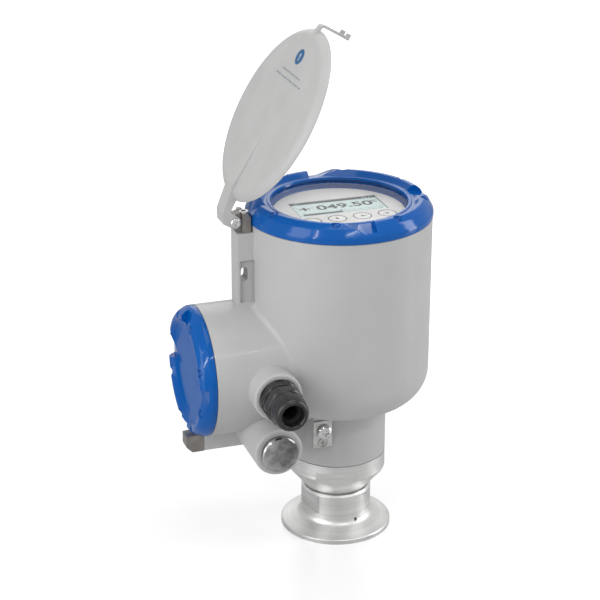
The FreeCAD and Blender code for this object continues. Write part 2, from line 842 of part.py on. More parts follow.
def housing_details():
    """Rib panels and slot, screw holes."""
    tools = []
    for side in ("-", ""):
        low_y = "-rib_half - 1" if side == "-" else "rib_half - rib_panel_depth"
        low = ("-rib_reach + rib_panel_edge", low_y, "rib_panel_low")
        spans = ("rib_reach - rib_panel_edge - barrel_rad + rib_panel_edge", "rib_panel_depth + 1",
                 "rib_panel_top - rib_panel_low")
        tools.append(block(low, spans))
    tools.append(plate("rib slot", [
        ("-rib_slot_mid - rib_slot_rad", "rib_slot_low"),
        ("-rib_slot_mid", "rib_slot_low - rib_slot_rad", "rib_slot_rad", "ccw"),
        ("-rib_slot_mid + rib_slot_rad", "rib_slot_low", "rib_slot_rad", "ccw"),
        ("-rib_slot_mid + rib_slot_rad", "rib_slot_high"),
        ("-rib_slot_mid", "rib_slot_high + rib_slot_rad", "rib_slot_rad", "ccw"),
        ("-rib_slot_mid - rib_slot_rad", "rib_slot_high", "rib_slot_rad", "ccw"),
    ], "rib_half + 1"))
    at = ("-bond_screw_side", "-pad_face - 1", "bond_screw_height")
    tools.append(cylinder("bond_hole", "bond_shank + 2", at, BACK))
    at = ("-bracket_screw_side", "0", "rib_top + 1")
    tools.append(cylinder("bracket_screw_shank", "bracket_screw_length", at, DOWN))
    at = ("-lug_reach - 1", "0", "stop_screw_height")
    tools.append(cylinder("stop_screw_shank", "stop_screw_length", at, RIGHT))
    at = ("0", "neck_rad + 1", "(spigot_groove_low + spigot_groove_high) / 2")
    tools.append(cylinder("grub_rad + grub_play", "neck_rad", at, FRONT))
    return tools


def housing():
    cut("housing", housing_outside(), housing_chambers() + housing_details())
    tip = "(spigot_groove_rad + grub_tip_play)"
    at = ("0", tip, "(spigot_groove_low + spigot_groove_high) / 2")
    length = "neck_rad - grub_sink - " + tip
    blank = cylinder("grub_rad", length, at, BACK)
    socket_at = ("0", "neck_rad - grub_sink + 1", "(spigot_groove_low + spigot_groove_high) / 2")
    socket = hexagon("grub_rad", "3", socket_at, FRONT)
    cut("neck_grub_screw", blank, [socket])


def notches(body, kind):
    """Four ratchet-shaped notches and eight dimples round a cover's rim."""
    sections = []
    for edge, floor in (("_rad + 1", "_notch_outer"), ("_lip_rad - 0.5", "_notch_inner")):
        sketch = sketch_on(body, "XZ_Plane", kind + edge)
        level = kind + floor
        crest = "(" + kind + "_crest + 1)"
        ramp = "-notch_half - notch_ramp * (" + crest + " - " + level + ") / (" + kind + "_crest - " + level + ")"
        draw(sketch, [
            ("notch_half", level),
            ("notch_half", crest),
            (ramp, crest),
            ("-notch_half", level),
        ])
        sections.append(sketch)
    notch = body.newObject("PartDesign::SubtractiveLoft", "Notch")
    notch.Profile = (sections[0], [""])
    notch.Sections = [(sections[1], [""])]
    notch.Ruled = True
    dots = sketch_on(body, "XY_Plane", kind + "_dimple_floor")
    for side in ("-", ""):
        x = side + kind + "_dimple_mid * sin(dimple_turn * 1 deg)"
        circle(dots, x, "-" + kind + "_dimple_mid * cos(dimple_turn * 1 deg)", "dimple_rad")
    dimples = body.newObject("PartDesign::Pocket", "Dimples")
    dimples.Profile = (dots, [""])
    dimples.Reversed = True
    dimples.setExpression("Length", bound(kind + "_crest"))
    around = body.newObject("PartDesign::PolarPattern", "Around")
    around.Originals = [notch, dimples]
    around.Axis = (role(body, "Z_Axis"), [""])
    around.Angle = 360
    around.Occurrences = 4
    body.Tip = around


def rim_corners(kind):
    """Outer side of a threaded cover, from the bottom of its spigot up to the crest's inner edge."""
    groove = kind + "_spigot_rad - groove_depth"
    return [
        (kind + "_spigot_in", "-" + kind + "_spigot"),
        (kind + "_spigot_rad", "-" + kind + "_spigot"),
        (kind + "_spigot_rad", "-groove_low"),
        (groove, "-groove_low"),
        (groove, "-groove_high"),
        (kind + "_spigot_rad", "-groove_high"),
        (kind + "_spigot_rad", "cover_gap"),
        (kind + "_rad", "cover_gap"),
        (kind + "_rad", kind + "_edge"),
        (kind + "_shoulder_rad", kind + "_shoulder", kind + "_bulge", "ccw"),
        (kind + "_crest_out", kind + "_crest", kind + "_crest_round + 0.6", "ccw"),
        (kind + "_crest_in", kind + "_crest"),
    ]


def display_cover():
    at = ("0", "0", "seat_height")
    seat = "(lid_window_seat)"
    body = turned("display_cover", rim_corners("lid") + [
        ("lid_lip_rad", "lid_lip"),
        ("lid_lip_rad", "lid_lip - 0.8"),
        ("lid_window_rad", "lid_lip - 0.8"),
        ("lid_window_rad", seat),
        ("window_rad + glass_play", seat),
        ("window_rad + glass_play", seat + " - window_seal - window_thick - retainer_thick"),
        ("lid_spigot_in", seat + " - window_seal - window_thick - retainer_thick"),
    ], at)
    notches(body, "lid")
    seal_at = ("0", "0", "seat_height + " + seat + " - window_seal")
    washer("window_gasket", "lid_window_rad", "window_rad", "window_seal", seal_at, UP)
    glass_at = "seat_height + " + seat + " - window_seal - window_thick"
    cylinder("window_rad", "window_thick", ("0", "0", glass_at)).Label = "display_window"
    washer("window_retainer", "retainer_in", "window_rad", "retainer_thick",
           ("0", "0", glass_at + " - retainer_thick"), UP)
    middle = "(groove_low + groove_high) / 2"
    reach = "lid_spigot_rad - ring_section - 0.1"
    ring("display_cover_seal", reach, "ring_section", ("0", "0", "seat_height - " + middle))


def terminal_cover():
    at = ("-side_reach", "0", "side_height")
    body = turned("terminal_cover", rim_corners("cap") + [
        ("cap_lip_rad", "cap_lip"),
        ("0", "cap_lip"),
        ("0", "cap_inside"),
        ("cap_spigot_in", "cap_inside"),
    ], at, LEFT)
    notches(body, "cap")
    middle = "(groove_low + groove_high) / 2"
    seal_at = ("-side_reach + " + middle, "0", "side_height")
    ring("terminal_cover_seal", "cap_spigot_rad - ring_section - 0.1", "ring_section", seal_at, LEFT)


def display_unit():
    at = ("0", "0", "seat_height")
    under = "(front_top - front_thick)"
    foot = "(ledge_height + pot_flange - seat_height)"
    blank = turned("front moulding", [
        ("0", under),
        ("front_skirt_rad - front_skirt_wall", under),
        ("front_skirt_rad - front_skirt_wall", foot),
        ("front_skirt_rad", foot),
        ("front_skirt_rad", under + " + 0.6"),
        ("front_rad", under + " + 0.6"),
        ("front_rad", "front_top"),
        ("0", "front_top"),
    ], at)
    low = ("screen_mid_x - screen_half_x - screen_play", "screen_mid_y - screen_half_y - screen_play",
           "seat_height + " + under + " - 1")
    spans = ("2 * (screen_half_x + screen_play)", "2 * (screen_half_y + screen_play)", "front_thick + 2")
    tools = [block(low, spans)]
    for number in range(4):
        x = "screen_mid_x + (%s) * key_pitch" % (number - 1.5)
        hole = (x, "-key_row", "seat_height + " + under + " - 1")
        tools.append(cylinder("key_rad + key_play", "front_thick + 2", hole))
        key_at = (x, "-key_row", "seat_height + " + under)
        cylinder("key_rad", "front_thick", key_at).Label = "optical_key_%d" % (number + 1)
    cut("display_front", blank, tools)
    board_at = ("screen_mid_x - screen_board_x", "screen_mid_y - screen_board_y",
                "seat_height + " + under + " - screen_board_thick")
    board = block(board_at, ("2 * screen_board_x", "2 * screen_board_y", "screen_board_thick"))
    face_at = ("screen_mid_x - screen_half_x", "screen_mid_y - screen_half_y", "seat_height + " + under)
    face = block(face_at, ("2 * screen_half_x", "2 * screen_half_y", "front_thick - screen_sink"))
    join("display_screen", [board, face])


def electronics():
    turned("electronics_pot", [
        ("0", "pot_low"),
        ("pot_rad", "pot_low"),
        ("pot_rad", "ledge_height"),
        ("ledge_rad - pot_play", "ledge_height"),
        ("ledge_rad - pot_play", "ledge_height + pot_flange"),
        ("board_rad + pot_play", "ledge_height + pot_flange"),
        ("board_rad + pot_play", "ledge_height"),
        ("0", "ledge_height"),
    ])
    cylinder("board_rad", "board_thick", ("0", "0", "ledge_height")).Label = "main_board"
    turned("microwave_module", [
        ("0", "neck_ledge"),
        ("module_rad", "neck_ledge"),
        ("module_rad", "chamber_floor"),
        ("module_flange_rad", "chamber_floor"),
        ("module_flange_rad", "chamber_floor + module_flange"),
        ("module_rad", "chamber_floor + module_flange"),
        ("module_rad", "module_top"),
        ("0", "module_top"),
    ])


def terminals():
    floor = "(partition_face + partition_wall)"
    at = ("-" + floor, "0", "side_height")
    cylinder("carrier_rad", "carrier_thick", at, LEFT).Label = "terminal_carrier"
    face = "(" + floor + " + carrier_thick)"
    low = ("-" + face + " - strip_thick", "-strip_half_y", "side_height - strip_half_z")
    block(low, ("strip_thick", "2 * strip_half_y", "2 * strip_half_z")).Label = "terminal_strip"
    heads = []
    for number in range(round(value("strip_screws"))):
        y = "(%d - (strip_screws - 1) / 2) * 2 * strip_half_y / strip_screws" % number
        at = ("-" + face + " - strip_thick", y, "side_height")
        heads.append(cylinder("strip_screw_rad", "strip_screw_rise", at, LEFT))
    screws = doc.addObject("Part::Compound", "Screws")
    screws.Label = "terminal_screws"
    screws.Links = heads


def cable_gland():
    at = ("-entry_side", "-entry_reach", "entry_high")
    washer("gland_washer", "gland_thread_rad", "gland_washer_rad", "gland_washer", at, FRONT)
    thread = cylinder("gland_thread_rad", "gland_thread + gland_washer",
                      ("-entry_side", "-entry_reach + gland_thread", "entry_high"), FRONT)
    hex_at = ("-entry_side", "-entry_reach - gland_washer", "entry_high")
    nut = hexagon("gland_hex", "gland_hex_high", hex_at, FRONT)
    rim = turned("gland hex rounding", [
        ("0", "0"),
        ("gland_hex * 0.545", "0"),
        ("gland_hex * 0.545", "gland_hex_high - 1.2"),
        ("gland_hex / 2", "gland_hex_high"),
        ("0", "gland_hex_high"),
    ], hex_at, FRONT)
    stem_at = ("-entry_side", "-entry_reach - gland_washer - gland_hex_high", "entry_high")
    stem = cylinder("gland_stem_rad", "gland_stem", stem_at, FRONT)
    whole = join("gland blank", [thread, common("gland hex", nut, rim), stem])
    hole_at = ("-entry_side", "-entry_reach + gland_thread + 1", "entry_high")
    hole = cylinder("gland_hole", "gland_thread + gland_washer + gland_hex_high + gland_stem + 2", hole_at, FRONT)
    seat_y = "-entry_reach - gland_washer - gland_hex_high - gland_stem + gland_seat"
    seat = cylinder("gland_seat_rad", "gland_seat + 1", ("-entry_side", seat_y, "entry_high"), FRONT)
    cut("gland_body", whole, [hole, seat])
    insert_at = ("-entry_side", seat_y, "entry_high")
    turned("gland_insert", [
        ("insert_hole", "0.3"),
        ("insert_rad", "0.3"),
        ("insert_rad", "gland_seat + insert_rise"),
        ("insert_hole + 1.2", "gland_seat + insert_rise"),
        ("insert_hole", "gland_seat + insert_rise - 2"),
    ], insert_at, FRONT)
    gland_nut()


def gland_nut():
    at = ("-entry_side", "-entry_reach - gland_washer - gland_hex_high - nut_gap", "entry_high")
    bar = hexagon("nut_hex", "nut_hex_high", at, FRONT)
    shoulder = "(nut_hex * 0.545)"
    rounding = turned("nut corners", [
        ("0", "0"),
        ("nut_hex / 2 + 0.3", "0"),
        (shoulder, "1"),
        (shoulder, "nut_hex_high - 1.6"),
        ("nut_hex / 2 - 0.4", "nut_hex_high"),
        ("0", "nut_hex_high"),
    ], at, FRONT)
    nose = turned("nut nose", [
        ("0", "nut_hex_high / 2"),
        ("nut_hex / 2 - 0.5", "nut_hex_high / 2"),
        ("nut_hex / 2 - 0.5", "nut_hex_high + 1.5"),
        ("nut_nose_rad + 0.4", "nut_high - 3", "nut_hex", "ccw"),
        ("nut_mouth + 1.8", "nut_high", "nut_nose_rad - nut_mouth", "ccw"),
        ("0", "nut_high"),
    ], at, FRONT)
    stem_end = "(gland_stem - nut_gap)"
    bore = turned("nut bore", [
        ("0", "-1"),
        ("gland_stem_rad + nut_play", "-1"),
        ("gland_stem_rad + nut_play", stem_end + " + 0.6"),
        ("insert_rad + nut_play", stem_end + " + insert_rise - 1"),
        ("insert_rad + nut_play", stem_end + " + insert_rise + 0.3"),
        ("nut_mouth", stem_end + " + insert_rise + 0.3"),
        ("nut_mouth", "nut_high - 1"),
        ("nut_mouth + 1", "nut_high + 0.5"),
        ("0", "nut_high + 0.5"),
    ], at, FRONT)
    cut("gland_nut", join("nut blank", [common("nut hexagon", bar, rounding), nose]), [bore])


def blind_plug():
    at = ("-entry_side", "-entry_reach", "entry_low")
    washer("plug_seal", "plug_thread_rad + 0.3", "plug_seal_rad", "plug_seal", at, FRONT)
    head = "(plug_seal + plug_head)"
    turned("blind_plug", [
        ("0", "-plug_thread"),
        ("plug_thread_rad - 1", "-plug_thread"),
        ("plug_thread_rad", "-plug_thread + 1"),
        ("plug_thread_rad", "plug_seal"),
        ("plug_head_rad", "plug_seal"),
        ("plug_head_rad", head + " - plug_chamfer"),
        ("plug_head_rad - plug_chamfer", head),
        ("plug_dish_rad", head),
        ("0", head + " - plug_dish"),
    ], at, FRONT)


def bonding_terminal():
    low = ("-pad_side - bond_half_x", "-pad_face - bond_thick", "(pad_low + pad_high) / 2 - bond_half_z")
    blank = block(low, ("2 * bond_half_x", "bond_thick", "2 * bond_half_z"))
    at = ("-bond_screw_side", "-pad_face", "bond_screw_height")
    hole = cylinder("bond_hole", "bond_thick + 1", at, FRONT)
    cut("bond_plate", blank, [hole])
    washer_at = ("-bond_screw_side", "-pad_face - bond_thick", "bond_screw_height")
    washer("bond_washer", "bond_hole", "bond_washer_rad", "bond_washer", washer_at, FRONT)
    head_at = ("-bond_screw_side", "-pad_face - bond_thick - bond_washer", "bond_screw_height")
    blank = turned("bond screw turning", [
        ("0", "-bond_shank - bond_thick"),
        ("bond_shank_rad - 0.6", "-bond_shank - bond_thick"),
        ("bond_shank_rad", "-bond_shank - bond_thick + 0.6"),
        ("bond_shank_rad", "0"),
        ("bond_head_rad", "0"),
        ("bond_head_rad", "bond_head * 0.4"),
        ("0", "bond_head", "bond_head_rad * 1.5", "ccw"),
    ], head_at, FRONT)
    tools = []
    cross_y = "-pad_face - bond_thick - bond_washer - bond_head - 1"
    for reach_x, reach_z in (("bond_cross_reach", "bond_cross"), ("bond_cross", "bond_cross_reach")):
        low = ("-bond_screw_side - " + reach_x, cross_y, "bond_screw_height - " + reach_z)
        tools.append(block(low, ("2 * " + reach_x, "bond_cross_depth + 1", "2 * " + reach_z)))
    cut("bond_screw", blank, tools)


def hinge_bracket():
    low = "rib_top"
    blank = plate("bracket blank", [
        ("-hinge_side - tongue_rad", "hinge_height", "tongue_rad", "ccw"),
        ("-hinge_side", "hinge_height - tongue_rad", "tongue_rad", "ccw"),
        ("-rib_reach", low),
        ("-bracket_face", low),
        ("-bracket_face", "bracket_top - bracket_slope"),
        ("-bracket_face - bracket_slope", "bracket_top"),
        ("-bracket_step", "bracket_top"),
        ("-hinge_side", "hinge_height + tongue_rad"),
    ], "bracket_half")
    tools = []
    for y in ("-bracket_half - 1", "tongue_half"):
        corner = ("-hinge_side - tongue_rad - 1", y, "rib_top")
        spans = ("hinge_side + tongue_rad + 1 - bracket_step", "bracket_half - tongue_half + 1",
                 "bracket_top - rib_top + 1")
        tools.append(block(corner, spans))
    tools.append(cylinder("pin_rad", "2 * bracket_half", ("-hinge_side", "bracket_half", "hinge_height"), FRONT))
    head_low = "bracket_top - bracket_screw_head - 0.4"
    at = ("-bracket_screw_side", "0", head_low)
    tools.append(cylinder("bracket_screw_rad + 0.2", "bracket_screw_head + 2", at))
    at = ("-bracket_screw_side", "0", "rib_top - 1")
    tools.append(cylinder("bracket_screw_shank", "bracket_top - rib_top", at))
    cut("hinge_bracket", blank, tools)
    socket_screw("bracket_screw", "bracket_screw", "bracket_screw_length",
                 ("-bracket_screw_side", "0", head_low), UP)


def socket_screw(label, kind, length, at, way):
    """Cap screw with a hexagon socket, its head standing on a face."""
    blank = turned(label + " turning", [
        ("0", "-" + length + " + 1"),
        (kind + "_shank", "-" + length + " + 1"),
        (kind + "_shank", "0"),
        (kind + "_rad", "0"),
        (kind + "_rad", kind + "_head - 0.3"),
        (kind + "_rad - 0.3", kind + "_head"),
        ("0", kind + "_head"),
    ])
    socket = hexagon("1.9 * socket_rad", kind + "_head", ("0", "0", kind + "_head * 0.4"), UP)
    screw = cut(label, blank, [socket])
    place(screw, at, way)


def hinge_pin():
    span = "(ear_half + pin_tail)"
    blank = turned("pin turning", [
        ("0", "-" + span),
        ("pin_rad - 0.4", "-" + span),
        ("pin_rad", "-" + span + " + 0.4"),
        ("pin_rad", "ear_half + 0.3"),
        ("pin_head_rad", "ear_half + 0.3"),
        ("pin_head_rad", "ear_half + 0.3 + pin_head - 0.5"),
        ("pin_head_rad - 0.5", "ear_half + 0.3 + pin_head"),
        ("0", "ear_half + 0.3 + pin_head"),
    ])
    dot = cylinder("pin_socket_rad", "pin_head", ("0", "0", "ear_half + 0.3 + pin_head * 0.3"))
    pin = cut("hinge_pin", blank, [dot])
    place(pin, ("-hinge_side", "0", "hinge_height"), FRONT)
    clip_at = ("-hinge_side", "ear_half + 0.3", "hinge_height")
    washer("pin_clip", "pin_rad", "clip_rad", "clip_thick", clip_at, BACK)


def weather_flap():
    rise = "flap_under + flap_wall"
    disc = turned("flap disc", [
        ("0", "flap_under"),
        ("flap_rad - flap_skirt - flap_inner_round", "flap_under"),
        ("flap_rad - flap_skirt", "flap_under - flap_inner_round + 0.4", "flap_inner_round", "cw"),
        ("flap_rad - flap_skirt", "flap_foot"),
        ("flap_rad", "flap_foot"),
        ("flap_rad - flap_round", rise, "flap_roll", "ccw"),
        ("0", rise + " + flap_crown"),
    ], ("flap_reach", "0", "0"))
    arm = plate("flap arm", [
        ("-ear_rad", "0"),
        ("0", "-ear_rad", "ear_rad", "ccw"),
        ("ear_rad", "0", "ear_rad", "ccw"),
        ("ear_rad", "arm_under"),
        ("flap_reach - flap_rad + flap_skirt / 2", "arm_under + 0.4"),
        ("flap_reach - flap_rad + flap_skirt + flap_inner_round", "flap_under + flap_wall / 2"),
        ("arm_end", "flap_under + flap_wall / 2"),
        ("arm_end", rise + " + flap_crown - 0.2"),
        ("arm_ridge_start", "arm_ridge"),
        ("ear_rad / 2", "arm_roof"),
        ("-ear_rad", "arm_corner"),
    ], "ear_half")
    gap = block(("-ear_rad - 1", "-tongue_half - ear_play", "-ear_rad - 1"),
                ("2 * ear_rad + 2", "2 * (tongue_half + ear_play)", "arm_under + ear_rad + 1"))
    bore = cylinder("pin_rad + pin_play", "2 * ear_half + 2", ("0", "ear_half + 1", "0"), FRONT)
    hook_in = "(flap_reach + lid_rad + hook_gap)"
    hook = plate("flap hook", [
        (hook_in, "hook_low"),
        (hook_in + " + hook_thick", "hook_low"),
        (hook_in + " + hook_thick", "hook_top - 3"),
        (hook_in + " + hook_thick - 3", "hook_top", "3", "ccw"),
        ("flap_reach + flap_rad - flap_round - 1", "hook_top + 1.4"),
        ("flap_reach + flap_rad - flap_round - 1", "hook_top"),
        (hook_in + " - 1.4", "hook_top - hook_thick"),
        (hook_in, "hook_top - hook_thick - 1.4", "1.4", "cw"),
    ], "hook_half")
    bar = plate("hook bar", [
        (hook_in, "hook_low - hook_bar_high"),
        (hook_in + " + hook_thick", "hook_low - hook_bar_high"),
        (hook_in + " + hook_thick", "hook_low"),
        (hook_in, "hook_low"),
    ], "hook_bar_half")
    pieces = [disc, arm, hook, bar]
    for side in ("-hook_bar_half", "hook_bar_half - hook_thick"):
        low = (hook_in, side, "hook_low - hook_bar_high")
        pieces.append(block(low, ("hook_thick + hook_barb", "hook_thick", "hook_bar_high")))
    flap = cut("weather_flap", join("flap blank", pieces), [gap, bore])
    place(flap, ("-hinge_side", "0", "hinge_height"), Rotation(Vector(0, 1, 0), -value("flap_open")))
    flap.setExpression("Placement.Rotation.Angle", bound("-flap_open * 1 deg"))


def terminal_stop():
    blank = plate("stop blank", [
        ("-lug_reach", "stop_low"),
        ("-lug_reach", "stop_high"),
        ("-side_reach - cap_edge", "stop_high"),
        ("-stop_reach", "stop_high"),
        ("-stop_reach", "stop_low + stop_chamfer"),
        ("-stop_reach + stop_chamfer", "stop_low"),
    ], "stop_half")
    at = ("-lug_reach + 1", "0", "stop_screw_height")
    shank = cylinder("stop_screw_shank", "stop_reach - lug_reach + 2", at, LEFT)
    seat = "(stop_reach - stop_screw_head - 0.2)"
    at = ("-" + seat, "0", "stop_screw_height")
    sink = cylinder("stop_screw_rad + 0.2", "stop_screw_head + 2", at, LEFT)
    cut("terminal_stop", blank, [shank, sink])
    length = "stop_screw_length"
    socket_screw("terminal_stop_screw", "stop_screw", length + " + 9", at, LEFT)


clamp_ferrule()
antenna()
cone_adapter()
housing()
display_cover()
terminal_cover()
display_unit()
electronics()
terminals()
cable_gland()
blind_plug()
bonding_terminal()
hinge_bracket()
hinge_pin()
weather_flap()
terminal_stop()
doc.recompute()

# Every node is a labelled object whose label is one plain word with underscores
NODES = """clamp_ferrule antenna_lens lens_seal waveguide cone_adapter neck_seal housing neck_grub_screw
display_cover window_gasket display_window window_retainer display_cover_seal terminal_cover
terminal_cover_seal optical_key_1 optical_key_2 optical_key_3 optical_key_4 display_front display_screen
electronics_pot main_board microwave_module terminal_carrier terminal_strip terminal_screws gland_washer
gland_body gland_insert gland_nut plug_seal blind_plug bond_plate bond_washer bond_screw hinge_bracket
bracket_screw hinge_pin pin_clip weather_flap terminal_stop terminal_stop_screw""".split()

for thing in doc.Objects:
    if "Invalid" in thing.State or "Error" in thing.State:
        raise RuntimeError("%s (%s) failed: %s" % (thing.Name, thing.Label, thing.State))

os.makedirs("parts", exist_ok=True)
for name in NODES:
    piece = doc.getObjectsByLabel(name)[0]
    shape = piece.Shape
    if shape.isNull() or not shape.isValid() or not shape.Solids:
        raise RuntimeError("%s has no valid solid" % name)
    shape.exportStep("parts/%s.step" % name)
    print("%-22s solids %d  volume %10.1f" % (name, len(shape.Solids), shape.Volume))
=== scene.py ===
"""Dresses the radar level transmitter for its studio picture. The frame gives every solid in metres,
with the origin at the centre of the clamp ferrule's face and +Z up the axis of the housing."""
import json
import math

import bmesh
import bpy
from mathutils import Matrix, Vector


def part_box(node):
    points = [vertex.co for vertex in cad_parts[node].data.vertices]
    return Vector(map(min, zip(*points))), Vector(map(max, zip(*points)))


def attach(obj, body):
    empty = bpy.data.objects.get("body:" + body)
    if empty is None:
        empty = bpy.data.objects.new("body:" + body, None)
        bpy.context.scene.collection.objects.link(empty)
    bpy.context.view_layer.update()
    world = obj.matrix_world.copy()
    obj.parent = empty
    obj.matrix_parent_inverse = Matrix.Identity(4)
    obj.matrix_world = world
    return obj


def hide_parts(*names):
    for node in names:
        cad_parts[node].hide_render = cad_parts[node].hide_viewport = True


bl_info = {
    "name": "Radar Level Transmitter",
    "version": (1, 0, 0),
    "blender": (4, 5, 0),
    "location": "View3D > Sidebar > Transmitter",
    "description": "Builds the finishes and fine detail of a compact radar level transmitter",
    "category": "Add Mesh",
}

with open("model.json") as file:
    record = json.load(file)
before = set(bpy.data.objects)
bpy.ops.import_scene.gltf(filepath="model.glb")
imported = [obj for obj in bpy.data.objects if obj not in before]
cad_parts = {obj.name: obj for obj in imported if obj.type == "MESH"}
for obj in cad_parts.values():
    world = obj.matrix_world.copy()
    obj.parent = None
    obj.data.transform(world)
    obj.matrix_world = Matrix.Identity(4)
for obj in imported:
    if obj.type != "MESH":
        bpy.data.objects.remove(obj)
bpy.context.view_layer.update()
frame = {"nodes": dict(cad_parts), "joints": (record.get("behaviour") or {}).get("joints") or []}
MM = 0.001
MERGE = 0.0001 * MM         # points closer than this are one
CREASE = math.radians(28)   # edges sharper than this are rounded
FLAT = math.radians(0.8)    # faces closer in angle than this are one
UP = Matrix()
LEFT = Matrix.Rotation(math.radians(-90), 4, "Y")
FRONT = Matrix.Rotation(math.radians(90), 4, "X")


# Places read from the frame

def joint(name):
    """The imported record's entry for one joint."""
    return next(entry for entry in frame["joints"] if entry["name"] == name)


def corners(node):
    """Lowest and highest corner of a solid's box."""
    return [Vector(corner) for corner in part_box(node)]


def middle(node):
    """Centre of a solid's box."""
    low, high = corners(node)
    return (low + high) / 2


def standing(at, way):
    """Matrix that puts a piece made about its own Z axis at a point, along way."""
    return Matrix.Translation(at) @ way


def flap_place():
    """Matrix from the closed flap's axes (out along the arm, sideways, up) to its open pose at rest."""
    hinge = joint("flap_hinge")
    opened = math.radians(hinge["range_deg"][0])
    return Matrix.Translation(hinge["pos_m"]) @ Matrix.Rotation(opened, 4, "Y")


# Shader writing

class Signal:
    """A shader socket that can be used in a Python expression. Each operator adds its Math node."""

    def __init__(self, tree, socket):
        self.tree = tree
        self.socket = socket

    def combine(self, operation, first, second=None):
        node = self.tree.nodes.new("ShaderNodeMath")
        node.operation = operation
        for slot, value in zip(node.inputs, (first, second)):
            if isinstance(value, Signal):
                self.tree.links.new(value.socket, slot)
            elif value is not None:
                slot.default_value = value
        return Signal(self.tree, node.outputs[0])

    def __add__(self, other):
        return self.combine("ADD", self, other)

    __radd__ = __add__

    def __mul__(self, other):
        return self.combine("MULTIPLY", self, other)

    __rmul__ = __mul__

    def __sub__(self, other):
        return self.combine("SUBTRACT", self, other)

    def __rsub__(self, other):
        return self.combine("SUBTRACT", other, self)

    def __truediv__(self, other):
        return self.combine("DIVIDE", self, other)

    def __pow__(self, other):
        return self.combine("POWER", self, other)

    def over(self, low, high):
        """This signal as 0 at low and 1 at high, held between them."""
        node = self.tree.nodes.new("ShaderNodeMapRange")
        self.tree.links.new(self.socket, node.inputs["Value"])
        node.inputs["From Min"].default_value = low
        node.inputs["From Max"].default_value = high
        return Signal(self.tree, node.outputs["Result"])


class Finish:
    """A material under construction, with one Principled shader."""

    def __init__(self, name, **sockets):
        self.material = bpy.data.materials.new(name)
        self.material.use_nodes = True
        self.tree = self.material.node_tree
        self.shader = self.tree.nodes["Principled BSDF"]
        self.feed(**{"Base_Color": (0.5, 0.5, 0.5), **sockets})

    def node(self, kind, settings=None, output=0, **inputs):
        """Add a node: its settings first, then the values or links of its sockets.

        A socket is named, or numbered as in i6 where several share a name."""
        node = self.tree.nodes.new("ShaderNode" + kind)
        for key, value in (settings or {}).items():
            setattr(node, key, value)
        for key, value in inputs.items():
            name = key.replace("_", " ")
            slot = node.inputs[int(key[1:])] if key[0] == "i" and key[1:].isdigit() else node.inputs[name]
            self.plug(value, slot)
        return Signal(self.tree, node.outputs[output])

    def plug(self, value, slot):
        if isinstance(value, Signal):
            self.tree.links.new(value.socket, slot)
        elif isinstance(value, tuple) and slot.type == "RGBA":
            slot.default_value = (*value[:3], 1)
        else:
            slot.default_value = value

    def feed(self, **sockets):
        """Set or link sockets of the Principled shader."""
        for key, value in sockets.items():
            self.plug(value, self.shader.inputs[key.replace("_", " ")])
        return self

    def place(self):
        """Object coordinates in metres."""
        return self.node("TexCoord", output="Object")

    def axes(self):
        """The three object coordinates as separate signals."""
        split = self.tree.nodes.new("ShaderNodeSeparateXYZ")
        self.tree.links.new(self.place().socket, split.inputs[0])
        return [Signal(self.tree, out) for out in split.outputs]

    def noise(self, grain, detail=3.0, rough=0.5, at=None):
        """Noise whose spots are about grain metres across."""
        where = at or self.place()
        return self.node("TexNoise", Vector=where, Scale=1 / grain, Detail=detail, Roughness=rough)

    def mix(self, factor, first, second):
        """Mix two colours."""
        return self.node("Mix", {"data_type": "RGBA"}, output=2, i0=factor, i6=first, i7=second)

    def tone(self, factor, colour, share):
        """Run the base colour from a darker share of a colour up to the colour itself."""
        return self.feed(Base_Color=self.mix(factor, darker(colour, share), tuple(colour)))

    def bump(self, height, depth, edge=0.0):
        """Bump of a given depth in metres over edges softened by a radius, fed to Normal."""
        soft = {"Normal": self.node("Bevel", {"samples": 6}, Radius=edge)} if edge else {}
        self.feed(Normal=self.node("Bump", Strength=1.0, Distance=depth, Height=height, **soft))
        return self


# Finishes

SPREAD = (0.3, 0.7)     # span of a noise's values that is stretched to run from 0 to 1
NARROW = (0.35, 0.65)   # the same for fine lines


def darker(colour, share):
    """A colour at a share of its brightness."""
    return tuple(part * share for part in colour)


def distance(first, second):
    """Distance from an axis, from the two object coordinates across it."""
    return (first * first + second * second) ** 0.5


def paint(name, colour, rough, coat, specular, edge=0.0):
    """Powder or wet paint on a casting: faint mottling, orange peel and soft dust in the gloss."""
    mottle, dust, peel = 35 * MM, 12 * MM, 1.6 * MM
    finish = Finish(name, Coat_Weight=coat, Coat_Roughness=0.06, Specular_IOR_Level=specular)
    finish.tone(finish.noise(mottle, 4).over(*SPREAD), colour, 0.95)
    finish.feed(Roughness=rough + 0.07 * finish.noise(dust).over(*SPREAD))
    return finish.bump(finish.noise(peel, 2), 0.03 * MM, edge)


def glossy_rim(finish, centre, inner, outer, gloss):
    """Full gloss coat only on the rim of a disc round a level axis along X."""
    x, y, z = finish.axes()
    radius = distance(y - centre.y, z - centre.z)
    return finish.feed(Coat_Weight=radius.over(inner, outer) * gloss)


def turned_steel(name, colour, rough):
    """Lathe-turned steel about the vertical axis: fine rings in height in gloss and bump, and a tone with
    wide bands of painted reflection in height.
    """
    pitch, smudge = 0.45 * MM, 20 * MM
    finish = Finish(name, Metallic=1.0)
    x, y, z = finish.axes()
    rings = finish.node("CombineXYZ", X=distance(x, y), Y=z, Z=0.0)
    line = finish.noise(pitch, 2, 0.6, rings)
    reflection_band = finish.noise(9 * pitch, 2, 0.5, rings)
    smear = finish.noise(smudge)
    # Painted reflection: wide bands in height darken the base colour, standing for the bright and dark rings
    # mirrored round the turned steel; the large smears are random tone.
    finish.tone((reflection_band * 0.6 + smear * 0.4).over(*SPREAD), colour, 0.7)
    finish.feed(Roughness=rough + 0.1 * line.over(*NARROW) + 0.06 * smear.over(0.35, 0.7))
    return finish.bump(line, 0.02 * MM, 0.4 * MM)


